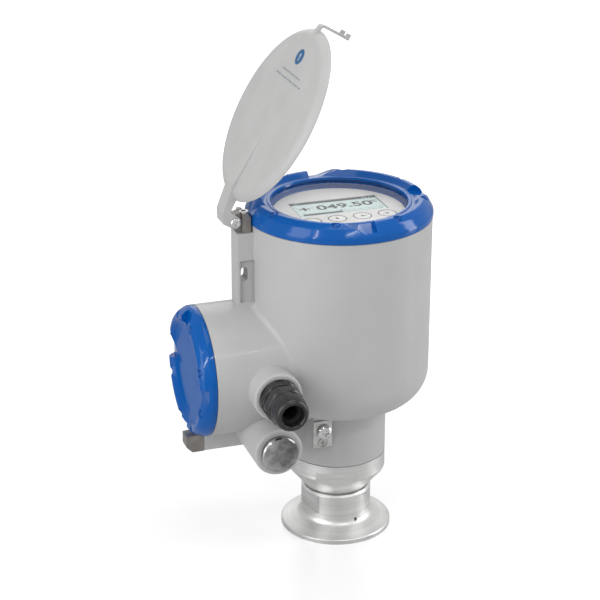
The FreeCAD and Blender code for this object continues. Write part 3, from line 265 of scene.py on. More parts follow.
def faced_steel(name, colour, rough, centre):
    """Steel faced on a lathe about a level axis along Y: fine circles under dark blots of painted
    reflection.
    """
    pitch, smudge, reflection_blot = 0.4 * MM, 6 * MM, 14 * MM
    finish = Finish(name, Metallic=1.0)
    x, y, z = finish.axes()
    rings = finish.node("CombineXYZ", X=distance(x - centre.x, z - centre.z), Y=y, Z=0.0)
    line = finish.noise(pitch, 2, 0.6, rings)
    smear = finish.noise(smudge)
    ring_tone = finish.mix((line * 0.5 + smear * 0.5).over(*SPREAD), darker(colour, 0.78), colour)
    # Painted reflection: noise blots darken the base colour to a fifth, standing for dark shapes mirrored in
    # the polished face.
    streak = finish.noise(reflection_blot, 5, 0.65).over(0.36, 0.7)
    finish.feed(Base_Color=finish.mix(streak, darker(colour, 0.2), ring_tone))
    finish.feed(Roughness=rough + 0.08 * line.over(*NARROW))
    return finish.bump(line, 0.015 * MM)


def blasted_steel(name, colour, rough):
    """Bead-blasted or milled steel with small pits and handling marks."""
    pit, stain = 0.6 * MM, 6 * MM
    finish = Finish(name, Metallic=0.85)
    grain = finish.noise(pit)
    finish.tone(finish.noise(stain, 4).over(*SPREAD), colour, 0.72)
    finish.feed(Roughness=rough + 0.15 * grain.over(*SPREAD))
    return finish.bump(grain, 0.04 * MM, 0.4 * MM)


def moulded(name, colour, rough, grain=0.9 * MM, depth=0.04 * MM, specular=0.4, edge=0.0):
    """Moulded plastic or rubber with a fine erosion texture."""
    cloud, gloss = 20 * MM, 4 * MM
    finish = Finish(name, Specular_IOR_Level=specular)
    finish.tone(finish.noise(cloud).over(*SPREAD), colour, 0.93)
    finish.feed(Roughness=rough + 0.1 * finish.noise(gloss).over(*SPREAD))
    return finish.bump(finish.noise(grain, 2), depth, edge)


def printed(name, colour, rough=0.4):
    """Printing ink, which lies almost smooth."""
    return moulded(name, colour, rough, grain=0.5 * MM, depth=0.005 * MM)


def liquid_crystal(name, colour):
    """Reflective display face: a fine grid of pixels under a polarising film."""
    pixel, gap, smear = 0.35 * MM, 0.12, 4 * MM
    finish = Finish(name, Specular_IOR_Level=0.3)
    x, y, z = finish.axes()
    columns, rows = (along.combine("PINGPONG", along / pixel, 0.5) for along in (x, y))
    finish.tone(columns.combine("MINIMUM", columns, rows).over(0.0, gap), colour, 0.93)
    return finish.feed(Roughness=0.24 + 0.08 * finish.noise(smear))


def window_glass(name):
    """Clear glass in one layer: reflects by angle at its outer faces and lets the rest straight through."""
    finish = Finish(name, Base_Color=(1.0, 1.0, 1.0), Metallic=1.0)
    smudge = finish.noise(12 * MM).over(0.45, 0.8)
    front = 1.0 - finish.node("NewGeometry", output="Backfacing")
    mirror = finish.node("Fresnel", IOR=1.35) * 0.4
    return finish.feed(Roughness=0.015 + 0.03 * smudge, Alpha=front * (mirror + 0.004 * smudge))


def make_finishes(colours):
    """Every finish of the transmitter by its short name."""
    made = {
        "cast paint": paint("cast paint", colours.cast, rough=0.32, coat=0.12, specular=0.4, edge=1.2 * MM),
        "cover paint": paint("cover paint", colours.cover, rough=0.09, coat=0.25, specular=0.2),
        "cap paint": glossy_rim(paint("cap paint", colours.cover, rough=0.12, coat=0.0, specular=0.06),
                                middle("terminal_cover"), inner=33 * MM, outer=36 * MM, gloss=0.4),
        "flap": moulded("flap plastic", colours.flap, rough=0.3, grain=0.5 * MM, depth=0.004 * MM,
                        specular=0.35),
        "machined": turned_steel("machined steel", (0.93, 0.93, 0.92), rough=0.34),
        "polished": turned_steel("polished steel", (0.85, 0.85, 0.85), rough=0.12),
        "plug": faced_steel("plug steel", (0.66, 0.66, 0.66), rough=0.1, centre=middle("blind_plug")),
        "bracket": blasted_steel("bracket steel", colours.bracket, rough=0.3),
        "plate": blasted_steel("plate steel", (0.74, 0.74, 0.73), rough=0.24),
        "screw": blasted_steel("screw steel", (0.60, 0.60, 0.60), rough=0.22),
        "lens": moulded("lens plastic", (0.8, 0.78, 0.72), rough=0.4),
        "rubber": moulded("seal rubber", (0.018, 0.018, 0.018), rough=0.6),
        "black": moulded("gland plastic", colours.gland, rough=0.2, grain=0.7 * MM, depth=0.02 * MM,
                         specular=0.5, edge=0.6 * MM),
        "glass": window_glass("window glass"),
        "front": moulded("front plate", (0.82, 0.81, 0.79), rough=0.4, grain=0.6 * MM, depth=0.01 * MM),
        "screen": liquid_crystal("screen face", (0.66, 0.82, 0.79)),
        "key": moulded("key field", (0.84, 0.83, 0.81), rough=0.3, grain=0.8 * MM, depth=0.01 * MM),
        "ink": printed("printed ink", (0.012, 0.016, 0.018), rough=0.35),
        "blue ink": printed("blue ink", (0.006, 0.12, 0.30), rough=0.3),
        "grey ink": printed("grey ink", (0.30, 0.34, 0.38)),
        "pale ink": printed("pale ink", (0.75, 0.78, 0.8)),
        "pot": moulded("dark plastic", (0.05, 0.055, 0.06), rough=0.45),
        "board": moulded("circuit board", (0.01, 0.12, 0.05), rough=0.3, grain=2 * MM, depth=0.08 * MM),
        "terminal": moulded("terminal plastic", (0.03, 0.16, 0.08), rough=0.42),
    }
    return {name: finish.material for name, finish in made.items()}


# Finish of each solid of the frame

NODE_FINISH = {
    "clamp_ferrule": "machined", "antenna_lens": "lens", "lens_seal": "rubber", "waveguide": "machined",
    "cone_adapter": "machined", "neck_seal": "rubber", "housing": "cast paint", "neck_grub_screw": "screw",
    "electronics_pot": "pot", "main_board": "board", "microwave_module": "screw", "display_front": "front",
    "display_screen": "screen", "optical_key_1": "key", "optical_key_2": "key", "optical_key_3": "key",
    "optical_key_4": "key", "terminal_carrier": "pot", "terminal_strip": "terminal",
    "terminal_screws": "screw", "gland_washer": "rubber", "gland_body": "black", "bond_plate": "plate",
    "hinge_bracket": "bracket", "bracket_screw": "screw", "hinge_pin": "polished", "pin_clip": "screw",
    "terminal_stop": "bracket", "terminal_stop_screw": "screw", "weather_flap": "flap",
    "display_cover_seal": "rubber", "display_cover": "cover paint", "window_gasket": "rubber",
    "display_window": "glass", "window_retainer": "cover paint", "terminal_cover_seal": "rubber",
    "terminal_cover": "cover paint", "gland_insert": "rubber", "gland_nut": "black", "plug_seal": "rubber",
    "blind_plug": "plug", "bond_washer": "screw", "bond_screw": "polished",
}
finishes = {}


# Shaping

def round_edges(mesh, lines, edge, segments):
    """Round some edges of a mesh."""
    bmesh.ops.bevel(mesh, geom=lines, offset=edge, offset_type="OFFSET", segments=segments, profile=0.5,
                    affect="EDGES", material=-1)


def slab(mesh, low, high, edge=0.0, place=UP):
    """Box between two corners, its edges rounded by edge."""
    low, high = Vector(low), Vector(high)
    span = Matrix.Diagonal((*(high - low), 1))
    made = bmesh.ops.create_cube(mesh, size=1.0)["verts"]
    bmesh.ops.transform(mesh, matrix=place @ Matrix.Translation((low + high) / 2) @ span, verts=made)
    if edge:
        round_edges(mesh, list({line for corner in made for line in corner.link_edges}), edge, 2)


def disc(mesh, radius, thick, place, segments=48, edge=0.0):
    """Round or many-sided disc standing on its place, its top rim rounded by edge."""
    made = bmesh.ops.create_cone(mesh, cap_ends=True, segments=segments, radius1=radius, radius2=radius,
                                 depth=thick)["verts"]
    rim = [line for line in {line for corner in made for line in corner.link_edges}
           if all(corner.co.z > 0 for corner in line.verts)]
    bmesh.ops.transform(mesh, matrix=place @ Matrix.Translation((0, 0, thick / 2)), verts=made)
    if edge:
        round_edges(mesh, rim, edge, 3)


def ring(inner, outer, thick):
    """Profile of a flat ring for the lathe."""
    return [(inner, 0), (outer, 0), (outer, thick), (inner, thick)]


def lathe(mesh, profile, place, steps=96, angle=math.tau, rise=0.0, closed=True):
    """Spin a profile of (radius, height) points about the local Z axis, rising by rise on the way.

    A closed profile that rises gets end faces. An open one starts and ends on the axis."""
    before = set(mesh.verts)
    points = [mesh.verts.new((radius, 0, height)) for radius, height in profile]
    pairs = zip(points, points[1:] + points[:1] if closed else points[1:])
    lines = [mesh.edges.new(pair) for pair in pairs]
    bmesh.ops.spin(mesh, geom=points + lines, cent=(0, 0, 0), axis=(0, 0, 1), dvec=(0, 0, rise / steps),
                   angle=angle, steps=steps, use_merge=not rise, use_duplicate=False)
    made = [corner for corner in mesh.verts if corner not in before]
    if rise:
        ends = [line for line in {line for corner in made for line in corner.link_edges} if line.is_boundary]
        bmesh.ops.holes_fill(mesh, edges=ends, sides=0)
    bmesh.ops.transform(mesh, matrix=place, verts=made)
    for face in {face for corner in made for face in corner.link_faces}:
        face.smooth = len(face.verts) == 4


def letters(mesh, text, height, place, bold=0.0, thick=0.03 * MM):
    """Raised characters in the XY plane of place."""
    curve = bpy.data.curves.new("letters", "FONT")
    curve.body = text
    curve.size = height
    curve.align_x = "CENTER"
    curve.align_y = "CENTER"
    curve.extrude = thick / 2
    curve.offset = height * bold
    holder = bpy.data.objects.new("letters", curve)
    data = bpy.data.meshes.new_from_object(holder)
    before = set(mesh.verts)
    mesh.from_mesh(data)
    made = [corner for corner in mesh.verts if corner not in before]
    bmesh.ops.transform(mesh, matrix=place @ Matrix.Translation((0, 0, thick / 2)), verts=made)
    bpy.data.meshes.remove(data)
    bpy.data.objects.remove(holder)
    bpy.data.curves.remove(curve)


def helix(mesh, radius, height, start, length, pitch, place):
    """Thread ridge wound round a shank, from start along the local Z axis, its foot sunk in."""
    foot, foot_half, crest_half = radius - 0.1 * MM, 0.36 * pitch, 0.08 * pitch
    profile = [
        (foot, start - foot_half),
        (radius + height, start - crest_half),
        (radius + height, start + crest_half),
        (foot, start + foot_half),
    ]
    turns = length / pitch
    lathe(mesh, profile, place, steps=round(48 * turns), angle=math.tau * turns, rise=length)


def piece(name, mesh, body, finish):
    """Finish a mesh as one piece that rides on a body of the frame."""
    bmesh.ops.remove_doubles(mesh, verts=mesh.verts, dist=MERGE)
    bmesh.ops.recalc_face_normals(mesh, faces=mesh.faces)
    data = bpy.data.meshes.new(name)
    mesh.to_mesh(data)
    mesh.free()
    data.materials.append(finishes[finish])
    made = bpy.data.objects.new(name, data)
    bpy.context.collection.objects.link(made)
    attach(made, body)
    return made


def rounded(outline, steps=5):
    """Closed section in metres from (radius, height, rounding) corners in millimetres, each arc in steps."""
    most = 0.49   # share of a side that an arc may take
    section = []
    for index, (x, y, radius) in enumerate(outline):
        here = Vector((x, y))
        before = Vector(outline[index - 1][:2]) - here
        after = Vector(outline[(index + 1) % len(outline)][:2]) - here
        if not radius:
            section.append(here * MM)
            continue
        half = before.angle(after) / 2
        reach = min(radius / math.tan(half), most * before.length, most * after.length)
        start, end = here + before.normalized() * reach, here + after.normalized() * reach
        for step in range(steps + 1):
            share = step / steps
            first, second = start.lerp(here, share), here.lerp(end, share)
            section.append(first.lerp(second, share) * MM)
    return [tuple(corner) for corner in section]


def carved(mesh, tools):
    """The mesh with every closed form in tools cut out of it."""
    holders = []
    for form in (mesh, tools):
        bmesh.ops.remove_doubles(form, verts=form.verts, dist=MERGE)
        bmesh.ops.recalc_face_normals(form, faces=form.faces)
        data = bpy.data.meshes.new("carving")
        form.to_mesh(data)
        form.free()
        holder = bpy.data.objects.new("carving", data)
        bpy.context.collection.objects.link(holder)
        holders.append(holder)
    block, cutter = holders
    cutting = block.modifiers.new("cutting", "BOOLEAN")
    cutting.object = cutter
    cutting.solver = "EXACT"
    cutting.use_self = True
    ready = block.evaluated_get(bpy.context.evaluated_depsgraph_get())
    data = bpy.data.meshes.new_from_object(ready)
    result = bmesh.new()
    result.from_mesh(data)
    bpy.data.meshes.remove(data)
    for holder in holders:
        spent = holder.data
        bpy.data.objects.remove(holder)
        bpy.data.meshes.remove(spent)
    return result


def rounding(made, edge):
    """Round the creases of a piece with a live bevel."""
    bevel = made.modifiers.new("rounding", "BEVEL")
    bevel.width = edge
    bevel.segments = 3
    bevel.limit_method = "ANGLE"
    bevel.angle_limit = CREASE
    bevel.harden_normals = True


def softened(node, body, finish, edge):
    """A copy of a solid of the frame with every crease rounded by edge, shown in place of the solid."""
    mesh = bmesh.new()
    mesh.from_mesh(frame["nodes"][node].data)
    bmesh.ops.remove_doubles(mesh, verts=mesh.verts, dist=10 * MERGE)
    bmesh.ops.dissolve_limit(mesh, angle_limit=FLAT, verts=mesh.verts, edges=mesh.edges)
    for face in mesh.faces:
        face.smooth = True
    made = piece(node + "_shell", mesh, body, finish)
    rounding(made, edge)
    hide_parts(node)


# The two covers in millimetres and degrees. A section's corners are radius, height above the seat, rounding.

LID_SECTION = [
    (53.4, -12.5, 0.3), (58.7, -12.5, 0.5), (58.7, -4.4, 0), (55.9, -4.4, 0), (55.9, -1.6, 0),
    (58.7, -1.6, 0), (58.7, 0.3, 0), (63.5, 0.3, 0.5), (63.5, 4.2, 5), (60.2, 9.9, 5), (56.8, 12.7, 2.6),
    (53.9, 12.7, 1.8), (50.4, 9.5, 1.6), (48.8, 9.3, 0.4), (48.4, 9.9, 0.4), (46.5, 9.9, 0.5),
    (46.0, 8.2, 0), (49.4, 8.2, 0), (49.4, -0.2, 0), (53.4, -0.2, 0),
]
CAP_SECTION = [
    (0, 2.0, 0), (36.8, 2.0, 0), (36.8, -10.0, 0.3), (41.2, -10.0, 0.5), (41.2, -4.4, 0), (38.4, -4.4, 0),
    (38.4, -1.6, 0), (41.2, -1.6, 0), (41.2, 0.3, 0), (45.0, 0.3, 0.5), (45.0, 3.6, 4), (42.6, 8.3, 4),
    (39.8, 11.0, 2.4), (37.2, 11.0, 1.6), (34.2, 7.8, 1.6), (31.8, 7.4, 1.5), (0, 7.4, 0),
]
BOTH = {"half": 4.0, "ramp": 9.5, "dimple_turn": 22, "dimple_rad": 3.0, "thread_top": -6.0}
LID = {**BOTH, "crest": 12.7, "outer": 64.5, "inner": 46.7, "floor_outer": 6.2, "floor_inner": 10.0,
       "dimple_mid": 57.2, "dimple_top": 12.6, "thread_rad": 58.7, "thread_long": 6.2}
CAP = {**BOTH, "crest": 11.0, "outer": 46.0, "inner": 31.5, "floor_outer": 5.6, "floor_inner": 7.4,
       "dimple_mid": 39.4, "dimple_top": 10.9, "thread_rad": 41.2, "thread_long": 4.2}


# Settings

class TransmitterColours(bpy.types.PropertyGroup):
    """Colours of the painted and moulded surfaces."""

    cast: bpy.props.FloatVectorProperty(
        name="Housing", description="Powder coat of the cast housing",
        default=(0.57, 0.57, 0.575), subtype="COLOR", min=0, max=1)
    cover: bpy.props.FloatVectorProperty(
        name="Covers", description="Gloss paint of the two screw covers",
        default=(0.0, 0.11, 0.45), subtype="COLOR", min=0, max=1)
    flap: bpy.props.FloatVectorProperty(
        name="Flap", description="Moulding colour of the weather flap",
        default=(0.58, 0.58, 0.575), subtype="COLOR", min=0, max=1)
    bracket: bpy.props.FloatVectorProperty(
        name="Lock parts", description="Blasted steel of the bracket and the stop block",
        default=(0.34, 0.32, 0.30), subtype="COLOR", min=0, max=1)
    gland: bpy.props.FloatVectorProperty(
        name="Gland", description="Polyamide of the cable gland",
        default=(0.022, 0.022, 0.024), subtype="COLOR", min=0, max=1)


class TransmitterDetails(bpy.types.PropertyGroup):
    """Sizes of the fine detail."""

    cover_soft: bpy.props.FloatProperty(
        name="Cover edges", description="Rounding of the creases of the cast covers",
        default=1.0 * MM, unit="LENGTH")
    reading: bpy.props.StringProperty(
        name="Reading", description="Digits on the display", default="+ 049.50")
    digit_high: bpy.props.FloatProperty(
        name="Digit height", description="Height of the large digits", default=11.5 * MM, unit="LENGTH")
    thread_pitch: bpy.props.FloatProperty(
        name="Thread pitch", description="Pitch of the cover and gland threads",
        default=1.5 * MM, unit="LENGTH")
    thread_high: bpy.props.FloatProperty(
        name="Thread height", description="Height of the thread ridges", default=0.2 * MM, unit="LENGTH")
    rib_count: bpy.props.IntProperty(
        name="Gland ribs", description="Grip ribs on each flat of the gland body", default=7, min=1)


class StudioSettings(bpy.types.PropertyGroup):
    """Camera and light of the studio picture."""

    lens: bpy.props.FloatProperty(
        name="Lens", description="Focal length of the camera on a 36 mm wide sensor",
        default=114.0, unit="CAMERA")
    turn: bpy.props.FloatProperty(
        name="Turn", description="Angle of the view round the object",
        default=math.radians(-18.809), subtype="ANGLE")
    tilt: bpy.props.FloatProperty(
        name="Tilt", description="Angle of the view below the horizon",
        default=math.radians(22.206), subtype="ANGLE")
    level: bpy.props.FloatProperty(
        name="Level", description="Turn of the camera about its own line of sight",
        default=math.radians(0.214), subtype="ANGLE")
    camera_place: bpy.props.FloatVectorProperty(
        name="Camera place", description="Where the camera stands",
        default=(-0.41301, -1.13199, 0.66081), subtype="TRANSLATION", unit="LENGTH")
    key: bpy.props.FloatProperty(
        name="Key light", description="Power of the large soft box at the left", default=6.5, unit="POWER")
    fill: bpy.props.FloatProperty(
        name="Fill light", description="Power of the strip at the right", default=6.5, unit="POWER")
    back: bpy.props.FloatProperty(
        name="Back light", description="Power of the soft box behind", default=3.0, unit="POWER")
    streak: bpy.props.FloatProperty(
        name="Streak lights", description="Power of each narrow strip that draws the highlights",
        default=1.9, unit="POWER")
    top: bpy.props.FloatProperty(
        name="Top light", description="Power of the soft box above", default=3.8, unit="POWER")


# Operators

class TRANSMITTER_OT_finishes(bpy.types.Operator):
    """Give every solid of the frame its finish"""

    bl_idname = "transmitter.finishes"
    bl_label = "Finishes"

    def execute(self, context):
        finishes.update(make_finishes(context.scene.transmitter_colours))
        for name, solid in frame["nodes"].items():
            solid.data.materials.clear()
            solid.data.materials.append(finishes[NODE_FINISH[name]])
        return {"FINISHED"}


class TRANSMITTER_OT_covers(bpy.types.Operator):
    """Turn and cut the two cast covers, and round the creases of the gland"""

    bl_idname = "transmitter.covers"
    bl_label = "Covers and gland"

    def execute(self, context):
        soft = context.scene.transmitter_details.cover_soft
        self.cover("display_cover", UP, LID, LID_SECTION, soft, "cover paint")
        self.cover("terminal_cover", LEFT, CAP, CAP_SECTION, soft, "cap paint")
        finer = 0.4 * soft
        softened("gland_nut", "gland_nut", "black", finer)
        softened("gland_body", "housing", "black", finer)
        return {"FINISHED"}

    def cover(self, name, way, rim, section, soft, finish):
        """Turn a cover's section, cut its four notches and eight dimples, and round what is left sharp."""
        mesh = bmesh.new()
        lathe(mesh, rounded(section), UP, steps=144, closed=section[0][0] > 0)
        tools = bmesh.new()
        for degrees in (0, 90, 180, 270):
            turn = Matrix.Rotation(math.radians(degrees), 4, "Z")
            self.notch(tools, turn, rim)
            for side in (-1, 1):
                place = turn @ Matrix.Rotation(math.radians(side * rim["dimple_turn"]), 4, "Z")
                centre = place @ Matrix.Translation((0, -rim["dimple_mid"] * MM, rim["dimple_top"] * MM))
                bmesh.ops.create_uvsphere(tools, u_segments=24, v_segments=16, radius=rim["dimple_rad"] * MM,
                                          matrix=centre)
        made = carved(mesh, tools)
        for face in made.faces:
            face.smooth = True
        seat = Vector(joint(name + "_turn")["pos_m"])
        bmesh.ops.transform(made, matrix=standing(seat, way), verts=made.verts)
        shell = piece(name + "_shell", made, name, finish)
        rounding(shell, soft)
        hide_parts(name)

    def notch(self, tools, turn, rim):
        """Ratchet-shaped cutter that runs in from the rim's outside, one side upright and one a ramp."""
        above = 2
        top = rim["crest"] + above
        for corner in bmesh.ops.create_cube(tools, size=1.0)["verts"]:
            inner = corner.co.y > 0
            level = rim["floor_inner"] if inner else rim["floor_outer"]
            ramp = rim["ramp"] * (top - level) / (rim["crest"] - level) if corner.co.z > 0 else 0
            corner.co = turn @ (Vector((
                rim["half"] if corner.co.x > 0 else -rim["half"] - ramp,
                -rim["inner"] if inner else -rim["outer"],
                top if corner.co.z > 0 else level,
            )) * MM)


class TRANSMITTER_OT_display_content(bpy.types.Operator):
    """Draw the reading, the head line and the bar on the display"""

    bl_idname = "transmitter.display_content"
    bl_label = "Display content"

    def execute(self, context):
        details = context.scene.transmitter_details
        side_gap, end_gap, line, lift = 5.0 * MM, 4.2 * MM, 0.4 * MM, 0.03 * MM
        low, high = corners("display_screen")
        left, right = low.x + side_gap, high.x - side_gap
        near, back = low.y + end_gap, high.y - end_gap
        level = high.z
        widen = Matrix.Diagonal((1.28, 1, 1, 1))
        mesh = bmesh.new()

        def patch(start, end):
            slab(mesh, (*start, level), (*end, level + lift))

        head_foot = back - 4.2 * MM
        patch((left + line, head_foot), (right - line, back - line))
        digits = Matrix.Translation((left + 29.5 * MM, near + 14.6 * MM, level))
        letters(mesh, details.reading, details.digit_high, digits @ widen, bold=0.025)
        percent = Matrix.Translation((right - 4.6 * MM, near + 16.8 * MM, level))
        letters(mesh, "%", details.digit_high / 2, percent @ widen)

        bar_gap, bar_line, filled_share = 3 * MM, 0.35 * MM, 0.495
        bar_low, bar_high = near + 2.2 * MM, near + 5.4 * MM
        bar_end = right - bar_gap
        filled = left + (right - left) * filled_share
        patch((left + bar_gap, bar_low), (filled, bar_high))
        patch((filled, bar_low), (bar_end, bar_low + bar_line))
        patch((filled, bar_high - bar_line), (bar_end, bar_high))
        patch((bar_end - bar_line, bar_low), (bar_end, bar_high))
        pointer = Matrix.Translation((filled, bar_high + 1.6 * MM, level))
        disc(mesh, 1.1 * MM, lift, pointer @ Matrix.Rotation(math.radians(30), 4, "Z"), segments=3)
        for side in (left, right - line):
            patch((side, near), (side + line, back))
        piece("display_reading", mesh, "housing", "ink")

        pale = bmesh.new()
        tag = Matrix.Translation((left + 5 * MM, back - 2.3 * MM, level + lift))
        letters(pale, "01", 3.0 * MM, tag)
        first, pitch, wide = 3 * MM, 2.2 * MM, 1.2 * MM
        foot, lowest, growth = 3.4 * MM, 2.8 * MM, 0.4 * MM
        for number in range(4):
            at = right - first - pitch * number
            slab(pale, (at, back - foot, level + lift),
                 (at + wide, back - lowest + growth * number, level + 2 * lift))
        piece("display_head_line", pale, "housing", "screen")
        return {"FINISHED"}


class TRANSMITTER_OT_key_marks(bpy.types.Operator):
    """Ring each optical key and give it an arrow"""

    bl_idname = "transmitter.key_marks"
    bl_label = "Key marks"

    def execute(self, context):
        thick, margin, line = 0.04 * MM, 0.1 * MM, 0.6 * MM
        head, tail, neck, half = 1.7 * MM, 3.2 * MM, 0.6 * MM, 0.3 * MM
        mesh = bmesh.new()
        for number, turn in enumerate((90, -90, 180, 0), start=1):
            low, high = corners("optical_key_%d" % number)
            outer = (high.x - low.x) / 2 - margin
            place = Matrix.Translation(((low.x + high.x) / 2, (low.y + high.y) / 2, high.z))
            lathe(mesh, ring(outer - line, outer, thick), place, steps=48)
            arrow = place @ Matrix.Rotation(math.radians(turn), 4, "Z")
            disc(mesh, head, thick, arrow @ Matrix.Rotation(math.radians(-90), 4, "Z"), segments=3)
            slab(mesh, (-tail, -half, 0), (-neck, half, thick), place=arrow)
        piece("key_marks", mesh, "housing", "ink")
        return {"FINISHED"}


class TRANSMITTER_OT_threads(bpy.types.Operator):
    """Wind the threads of the two covers and of the gland's stem"""

    bl_idname = "transmitter.threads"
    bl_label = "Threads"

    def execute(self, context):
        details = context.scene.transmitter_details
        pitch, high = details.thread_pitch, details.thread_high
        for body, way, rim in (("display_cover", UP, LID), ("terminal_cover", LEFT, CAP)):
            place = standing(Vector(joint(body + "_turn")["pos_m"]), way)
            start = (rim["thread_top"] - rim["thread_long"]) * MM
            mesh = bmesh.new()
            helix(mesh, rim["thread_rad"] * MM, high, start, rim["thread_long"] * MM, pitch, place)
            piece(body + "_thread", mesh, body, "cover paint")
        stem_rad, stem_start, stem_long, stem_foot = 9.6 * MM, 1.5 * MM, 8 * MM, 12 * MM
        at = middle("gland_body")
        at.y = corners("gland_body")[0].y + stem_foot
        mesh = bmesh.new()
        helix(mesh, stem_rad, high, stem_start, stem_long, pitch, standing(at, FRONT))
        piece("gland_stem_thread", mesh, "housing", "black")
        return {"FINISHED"}


class TRANSMITTER_OT_gland_detail(bpy.types.Operator):
    """Add the grip ribs of the gland body and the rolled lip of its cap"""

    bl_idname = "transmitter.gland_detail"
    bl_label = "Gland detail"

    def execute(self, context):
        count = context.scene.transmitter_details.rib_count
        flat, pitch, half, sunk, proud = 13.0 * MM, 1.7 * MM, 0.35 * MM, 0.2 * MM, 0.3 * MM
        start, end, soft = 0.7 * MM, 5.2 * MM, 0.12 * MM
        at = middle("gland_body")
        at.y = corners("gland_washer")[0].y
        mesh = bmesh.new()
        for side in range(6):
            place = standing(at, FRONT) @ Matrix.Rotation(math.radians(30 + 60 * side), 4, "Z")
            for number in range(count):
                y = (number - (count - 1) / 2) * pitch
                slab(mesh, (flat - sunk, y - half, start), (flat + proud, y + half, end), soft, place)
        piece("gland_grip_ribs", mesh, "housing", "black")

        lip_mid, lip_rad, lip_depth, lip_sides = 8.7 * MM, 0.75 * MM, 0.85 * MM, 12
        turns = [math.tau * step / lip_sides for step in range(lip_sides)]
        section = [(lip_mid + lip_rad * math.cos(turn), lip_rad * math.sin(turn) - lip_depth)
                   for turn in turns]
        at.y = corners("gland_nut")[0].y
        lip = bmesh.new()
        lathe(lip, section, standing(at, FRONT), steps=72)
        piece("gland_cap_lip", lip, "gland_nut", "black")
        return {"FINISHED"}


class TRANSMITTER_OT_earth_mark(bpy.types.Operator):
    """Raise the earth symbol on the plate of the bonding terminal, in darker steel as painted shade for the
    dark grooves round the embossing
    """

    bl_idname = "transmitter.earth_mark"
    bl_label = "Earth mark"

    def execute(self, context):
        high_up, thick, half_line, soft = 3.6 * MM, 0.3 * MM, 0.2 * MM, 0.05 * MM
        stem, ring_inner, ring_outer = 2.0 * MM, 2.9 * MM, 3.25 * MM
        bars = ((1.9 * MM, -0.1 * MM), (1.2 * MM, -1.1 * MM), (0.5 * MM, -2.1 * MM))
        low, high = corners("bond_plate")
        place = standing(Vector(((low.x + high.x) / 2, low.y, low.z + high_up)), FRONT)
        mesh = bmesh.new()
        for half, level in bars:
            slab(mesh, (-half, level - half_line, 0), (half, level + half_line, thick), soft, place)
        slab(mesh, (-half_line, 0, 0), (half_line, stem, thick), soft, place)
        lathe(mesh, ring(ring_inner, ring_outer, thick), place, steps=48)
        # The mark takes the darker bracket steel: painted shade standing for the shade in the embossed
        # grooves.
        piece("earth_mark", mesh, "housing", "bracket")
        return {"FINISHED"}


class TRANSMITTER_OT_flap_detail(bpy.types.Operator):
    """Mark the flap: plain round sign, two printed lines, gate mark and stiffening rings inside"""

    bl_idname = "transmitter.flap_detail"
    bl_label = "Flap detail"
    reach = 75 * MM

    def execute(self, context):
        self.place = flap_place()
        self.sign(thick=0.08 * MM)
        self.printing(thick=0.08 * MM)
        gate = bmesh.new()
        disc(gate, 1.7 * MM, 0.25 * MM, self.outside(66.6 * MM, 0), segments=32, edge=0.2 * MM)
        piece("flap_gate_mark", gate, "flap", "flap")
        self.stiffening(under=10.9 * MM)
        return {"FINISHED"}

    def outside(self, out, side):
        """Place on the flap's crowned outer face, out along the arm and sideways from it."""
        crown, flat, fall = 13.1 * MM, 53.5 * MM, 0.7 * MM
        away = math.hypot(out - self.reach, side)
        return self.place @ Matrix.Translation((out, side, crown - fall * away / flat))

    def sign(self, thick):
        """Round blue sign with a plain pale arrow."""
        radius, field = 5.4 * MM, 0.12 * MM
        head, head_out, tail, shaft_half = 1.5 * MM, 1.2 * MM, 2.8 * MM, 0.45 * MM
        at = self.outside(115.5 * MM, 0.2 * MM)
        mesh = bmesh.new()
        disc(mesh, radius, field, at, segments=64)
        piece("flap_sign", mesh, "flap", "blue ink")
        spot = at @ Matrix.Translation((0, 0, 0.1 * MM))
        mark = bmesh.new()
        disc(mark, head, thick, spot @ Matrix.Translation((head_out, 0, 0)), segments=3)
        slab(mark, (-tail, -shaft_half, 0), (1.0 * MM, shaft_half, thick), place=spot)
        piece("flap_sign_arrow", mark, "flap", "pale ink")

    def printing(self, thick):
        """Two lines of dashes in place of small print."""
        count, half_high = 9, 0.55 * MM
        mesh = bmesh.new()
        for out, half in ((103.5 * MM, 17 * MM), (99 * MM, 24 * MM)):
            pitch = 2 * half / count
            for part in range(count):
                dash = pitch * (0.62 + 0.2 * (part % 2))
                slab(mesh, (-half_high, 0, 0), (half_high, dash, thick),
                     place=self.outside(out, part * pitch - half))
        piece("flap_printed_lines", mesh, "flap", "grey ink")

    def stiffening(self, under):
        """Two rings and six spokes that stand out of the inner face, which lies at under."""
        foot_half, crest_half, sunk, proud = 0.6 * MM, 0.4 * MM, 0.1 * MM, 1.1 * MM
        inner, outer, spoke_half, spoke_high = 22 * MM, 40 * MM, 0.5 * MM, 1.0 * MM
        centre = self.place @ Matrix.Translation((self.reach, 0, 0))
        mesh = bmesh.new()
        for radius in (inner, outer):
            lathe(mesh, [(radius - foot_half, under + sunk), (radius - crest_half, under - proud),
                         (radius + crest_half, under - proud), (radius + foot_half, under + sunk)], centre)
        for step in range(6):
            slab(mesh, (inner + 0.3 * MM, -spoke_half, under - spoke_high),
                 (outer - 0.3 * MM, spoke_half, under + sunk), 0.15 * MM,
                 centre @ Matrix.Rotation(math.radians(30 + 60 * step), 4, "Z"))
        piece("flap_stiffening_rings", mesh, "flap", "flap")


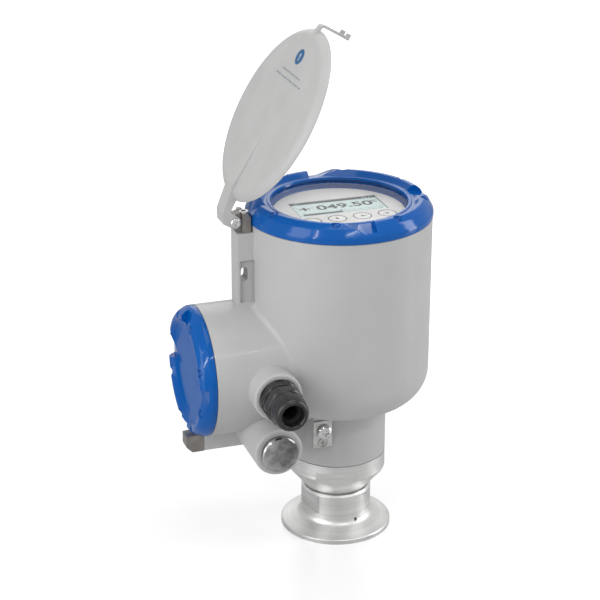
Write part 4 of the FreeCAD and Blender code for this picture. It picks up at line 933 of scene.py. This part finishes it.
class TRANSMITTER_OT_studio(bpy.types.Operator):
    """Set up the camera, the lamps, the floor and the world"""

    bl_idname = "transmitter.studio"
    bl_label = "Studio"

    def execute(self, context):
        settings = context.scene.transmitter_studio
        self.camera(context, settings)
        self.floor(context)
        self.world(context)
        for name, power, width, height, at in (
            ("key", settings.key, 0.55, 1.2, (-1.25, -0.45, 0.6)),
            ("fill", settings.fill, 0.3, 1.2, (1.2, -0.3, 0.45)),
            ("top", settings.top, 1.1, 0.7, (0.1, -0.1, 1.4)),
            ("back", settings.back, 0.9, 1.0, (0.35, 1.25, 0.8)),
            ("left streak", settings.streak, 0.03, 0.8, (-0.85, -0.75, 0.7)),
            ("front streak", settings.streak, 0.8, 0.03, (0.2, -1.0, 1.05)),
        ):
            self.lamp(context, name, power, width, height, Vector(at))
        return {"FINISHED"}

    def camera(self, context, settings):
        """Camera that sees the object as the photograph does."""
        data = bpy.data.cameras.new("camera")
        data.sensor_width = 36
        data.lens = settings.lens
        camera = bpy.data.objects.new("camera", data)
        context.collection.objects.link(camera)
        view = Matrix.Rotation(settings.turn, 4, "Z") @ Matrix.Rotation(math.pi / 2 - settings.tilt, 4, "X")
        level = Matrix.Rotation(settings.level, 4, "Z")
        camera.matrix_world = Matrix.Translation(settings.camera_place) @ view @ level
        context.scene.camera = camera

    def lamp(self, context, name, power, width, height, at):
        """Rectangular lamp that looks at the middle of the object."""
        aim = Vector((0, 0, 0.17))
        data = bpy.data.lights.new(name, "AREA")
        data.energy = power
        data.shape = "RECTANGLE"
        data.size = width
        data.size_y = height
        lamp = bpy.data.objects.new(name, data)
        context.collection.objects.link(lamp)
        lamp.location = at
        lamp.rotation_euler = (aim - at).to_track_quat("-Z", "Y").to_euler()

    def floor(self, context):
        """Pale floor whose glow grows outward, for the camera alone, until it meets the background."""
        half_span, near, far = 6, 0.15, 1.1
        mesh = bmesh.new()
        bmesh.ops.create_grid(mesh, x_segments=1, y_segments=1, size=half_span)
        data = bpy.data.meshes.new("floor")
        mesh.to_mesh(data)
        mesh.free()
        floor = bpy.data.objects.new("floor", data)
        context.collection.objects.link(floor)
        finish = Finish("floor", Base_Color=(0.62, 0.62, 0.62), Roughness=0.3)
        seen = finish.node("LightPath", output="Is Camera Ray")
        x, y, z = finish.axes()
        away = distance(x, y).over(near, far)
        glow = finish.mix(seen * (0.44 + 0.5 * away), (0.0, 0.0, 0.0), (1.0, 1.0, 1.0))
        finish.feed(Emission_Color=glow, Emission_Strength=1.0)
        data.materials.append(finish.material)

    def world(self, context):
        """White to the camera, dimmer as light and a little brighter in what is mirrored."""
        ambient, mirror_gain = 0.38, 0.22
        world = bpy.data.worlds.new("studio")
        context.scene.world = world
        world.use_nodes = True
        tree = world.node_tree
        back = tree.nodes["Background"]
        path = tree.nodes.new("ShaderNodeLightPath")
        seen = Signal(tree, path.outputs["Is Camera Ray"])
        mirrored = Signal(tree, path.outputs["Is Glossy Ray"])
        strength = ambient + (1 - ambient) * seen + mirror_gain * mirrored
        back.inputs["Color"].default_value = (1, 1, 1, 1)
        tree.links.new(strength.socket, back.inputs["Strength"])


class TRANSMITTER_PT_panel(bpy.types.Panel):
    """Lists the steps of the build"""

    bl_label = "Radar level transmitter"
    bl_idname = "TRANSMITTER_PT_panel"
    bl_space_type = "VIEW_3D"
    bl_region_type = "UI"
    bl_category = "Transmitter"

    def draw(self, context):
        scene = context.scene
        for group in (scene.transmitter_colours, scene.transmitter_details, scene.transmitter_studio):
            for name in group.__annotations__:
                self.layout.prop(group, name)
        for step in STEPS:
            self.layout.operator(step.bl_idname)


STEPS = (
    TRANSMITTER_OT_finishes,
    TRANSMITTER_OT_covers,
    TRANSMITTER_OT_display_content,
    TRANSMITTER_OT_key_marks,
    TRANSMITTER_OT_threads,
    TRANSMITTER_OT_gland_detail,
    TRANSMITTER_OT_earth_mark,
    TRANSMITTER_OT_flap_detail,
    TRANSMITTER_OT_studio,
)
GROUPS = {
    "transmitter_colours": TransmitterColours,
    "transmitter_details": TransmitterDetails,
    "transmitter_studio": StudioSettings,
}
CLASSES = (*GROUPS.values(), *STEPS, TRANSMITTER_PT_panel)


def register():
    for cls in CLASSES:
        bpy.utils.register_class(cls)
    for name, group in GROUPS.items():
        setattr(bpy.types.Scene, name, bpy.props.PointerProperty(type=group))


def unregister():
    for name in GROUPS:
        delattr(bpy.types.Scene, name)
    for cls in reversed(CLASSES):
        bpy.utils.unregister_class(cls)


def main():
    register()
    bpy.context.scene.view_settings.view_transform = "Standard"
    for step in STEPS:
        group, name = step.bl_idname.split(".")
        getattr(getattr(bpy.ops, group), name)()


if __name__ == "__main__":
    main()
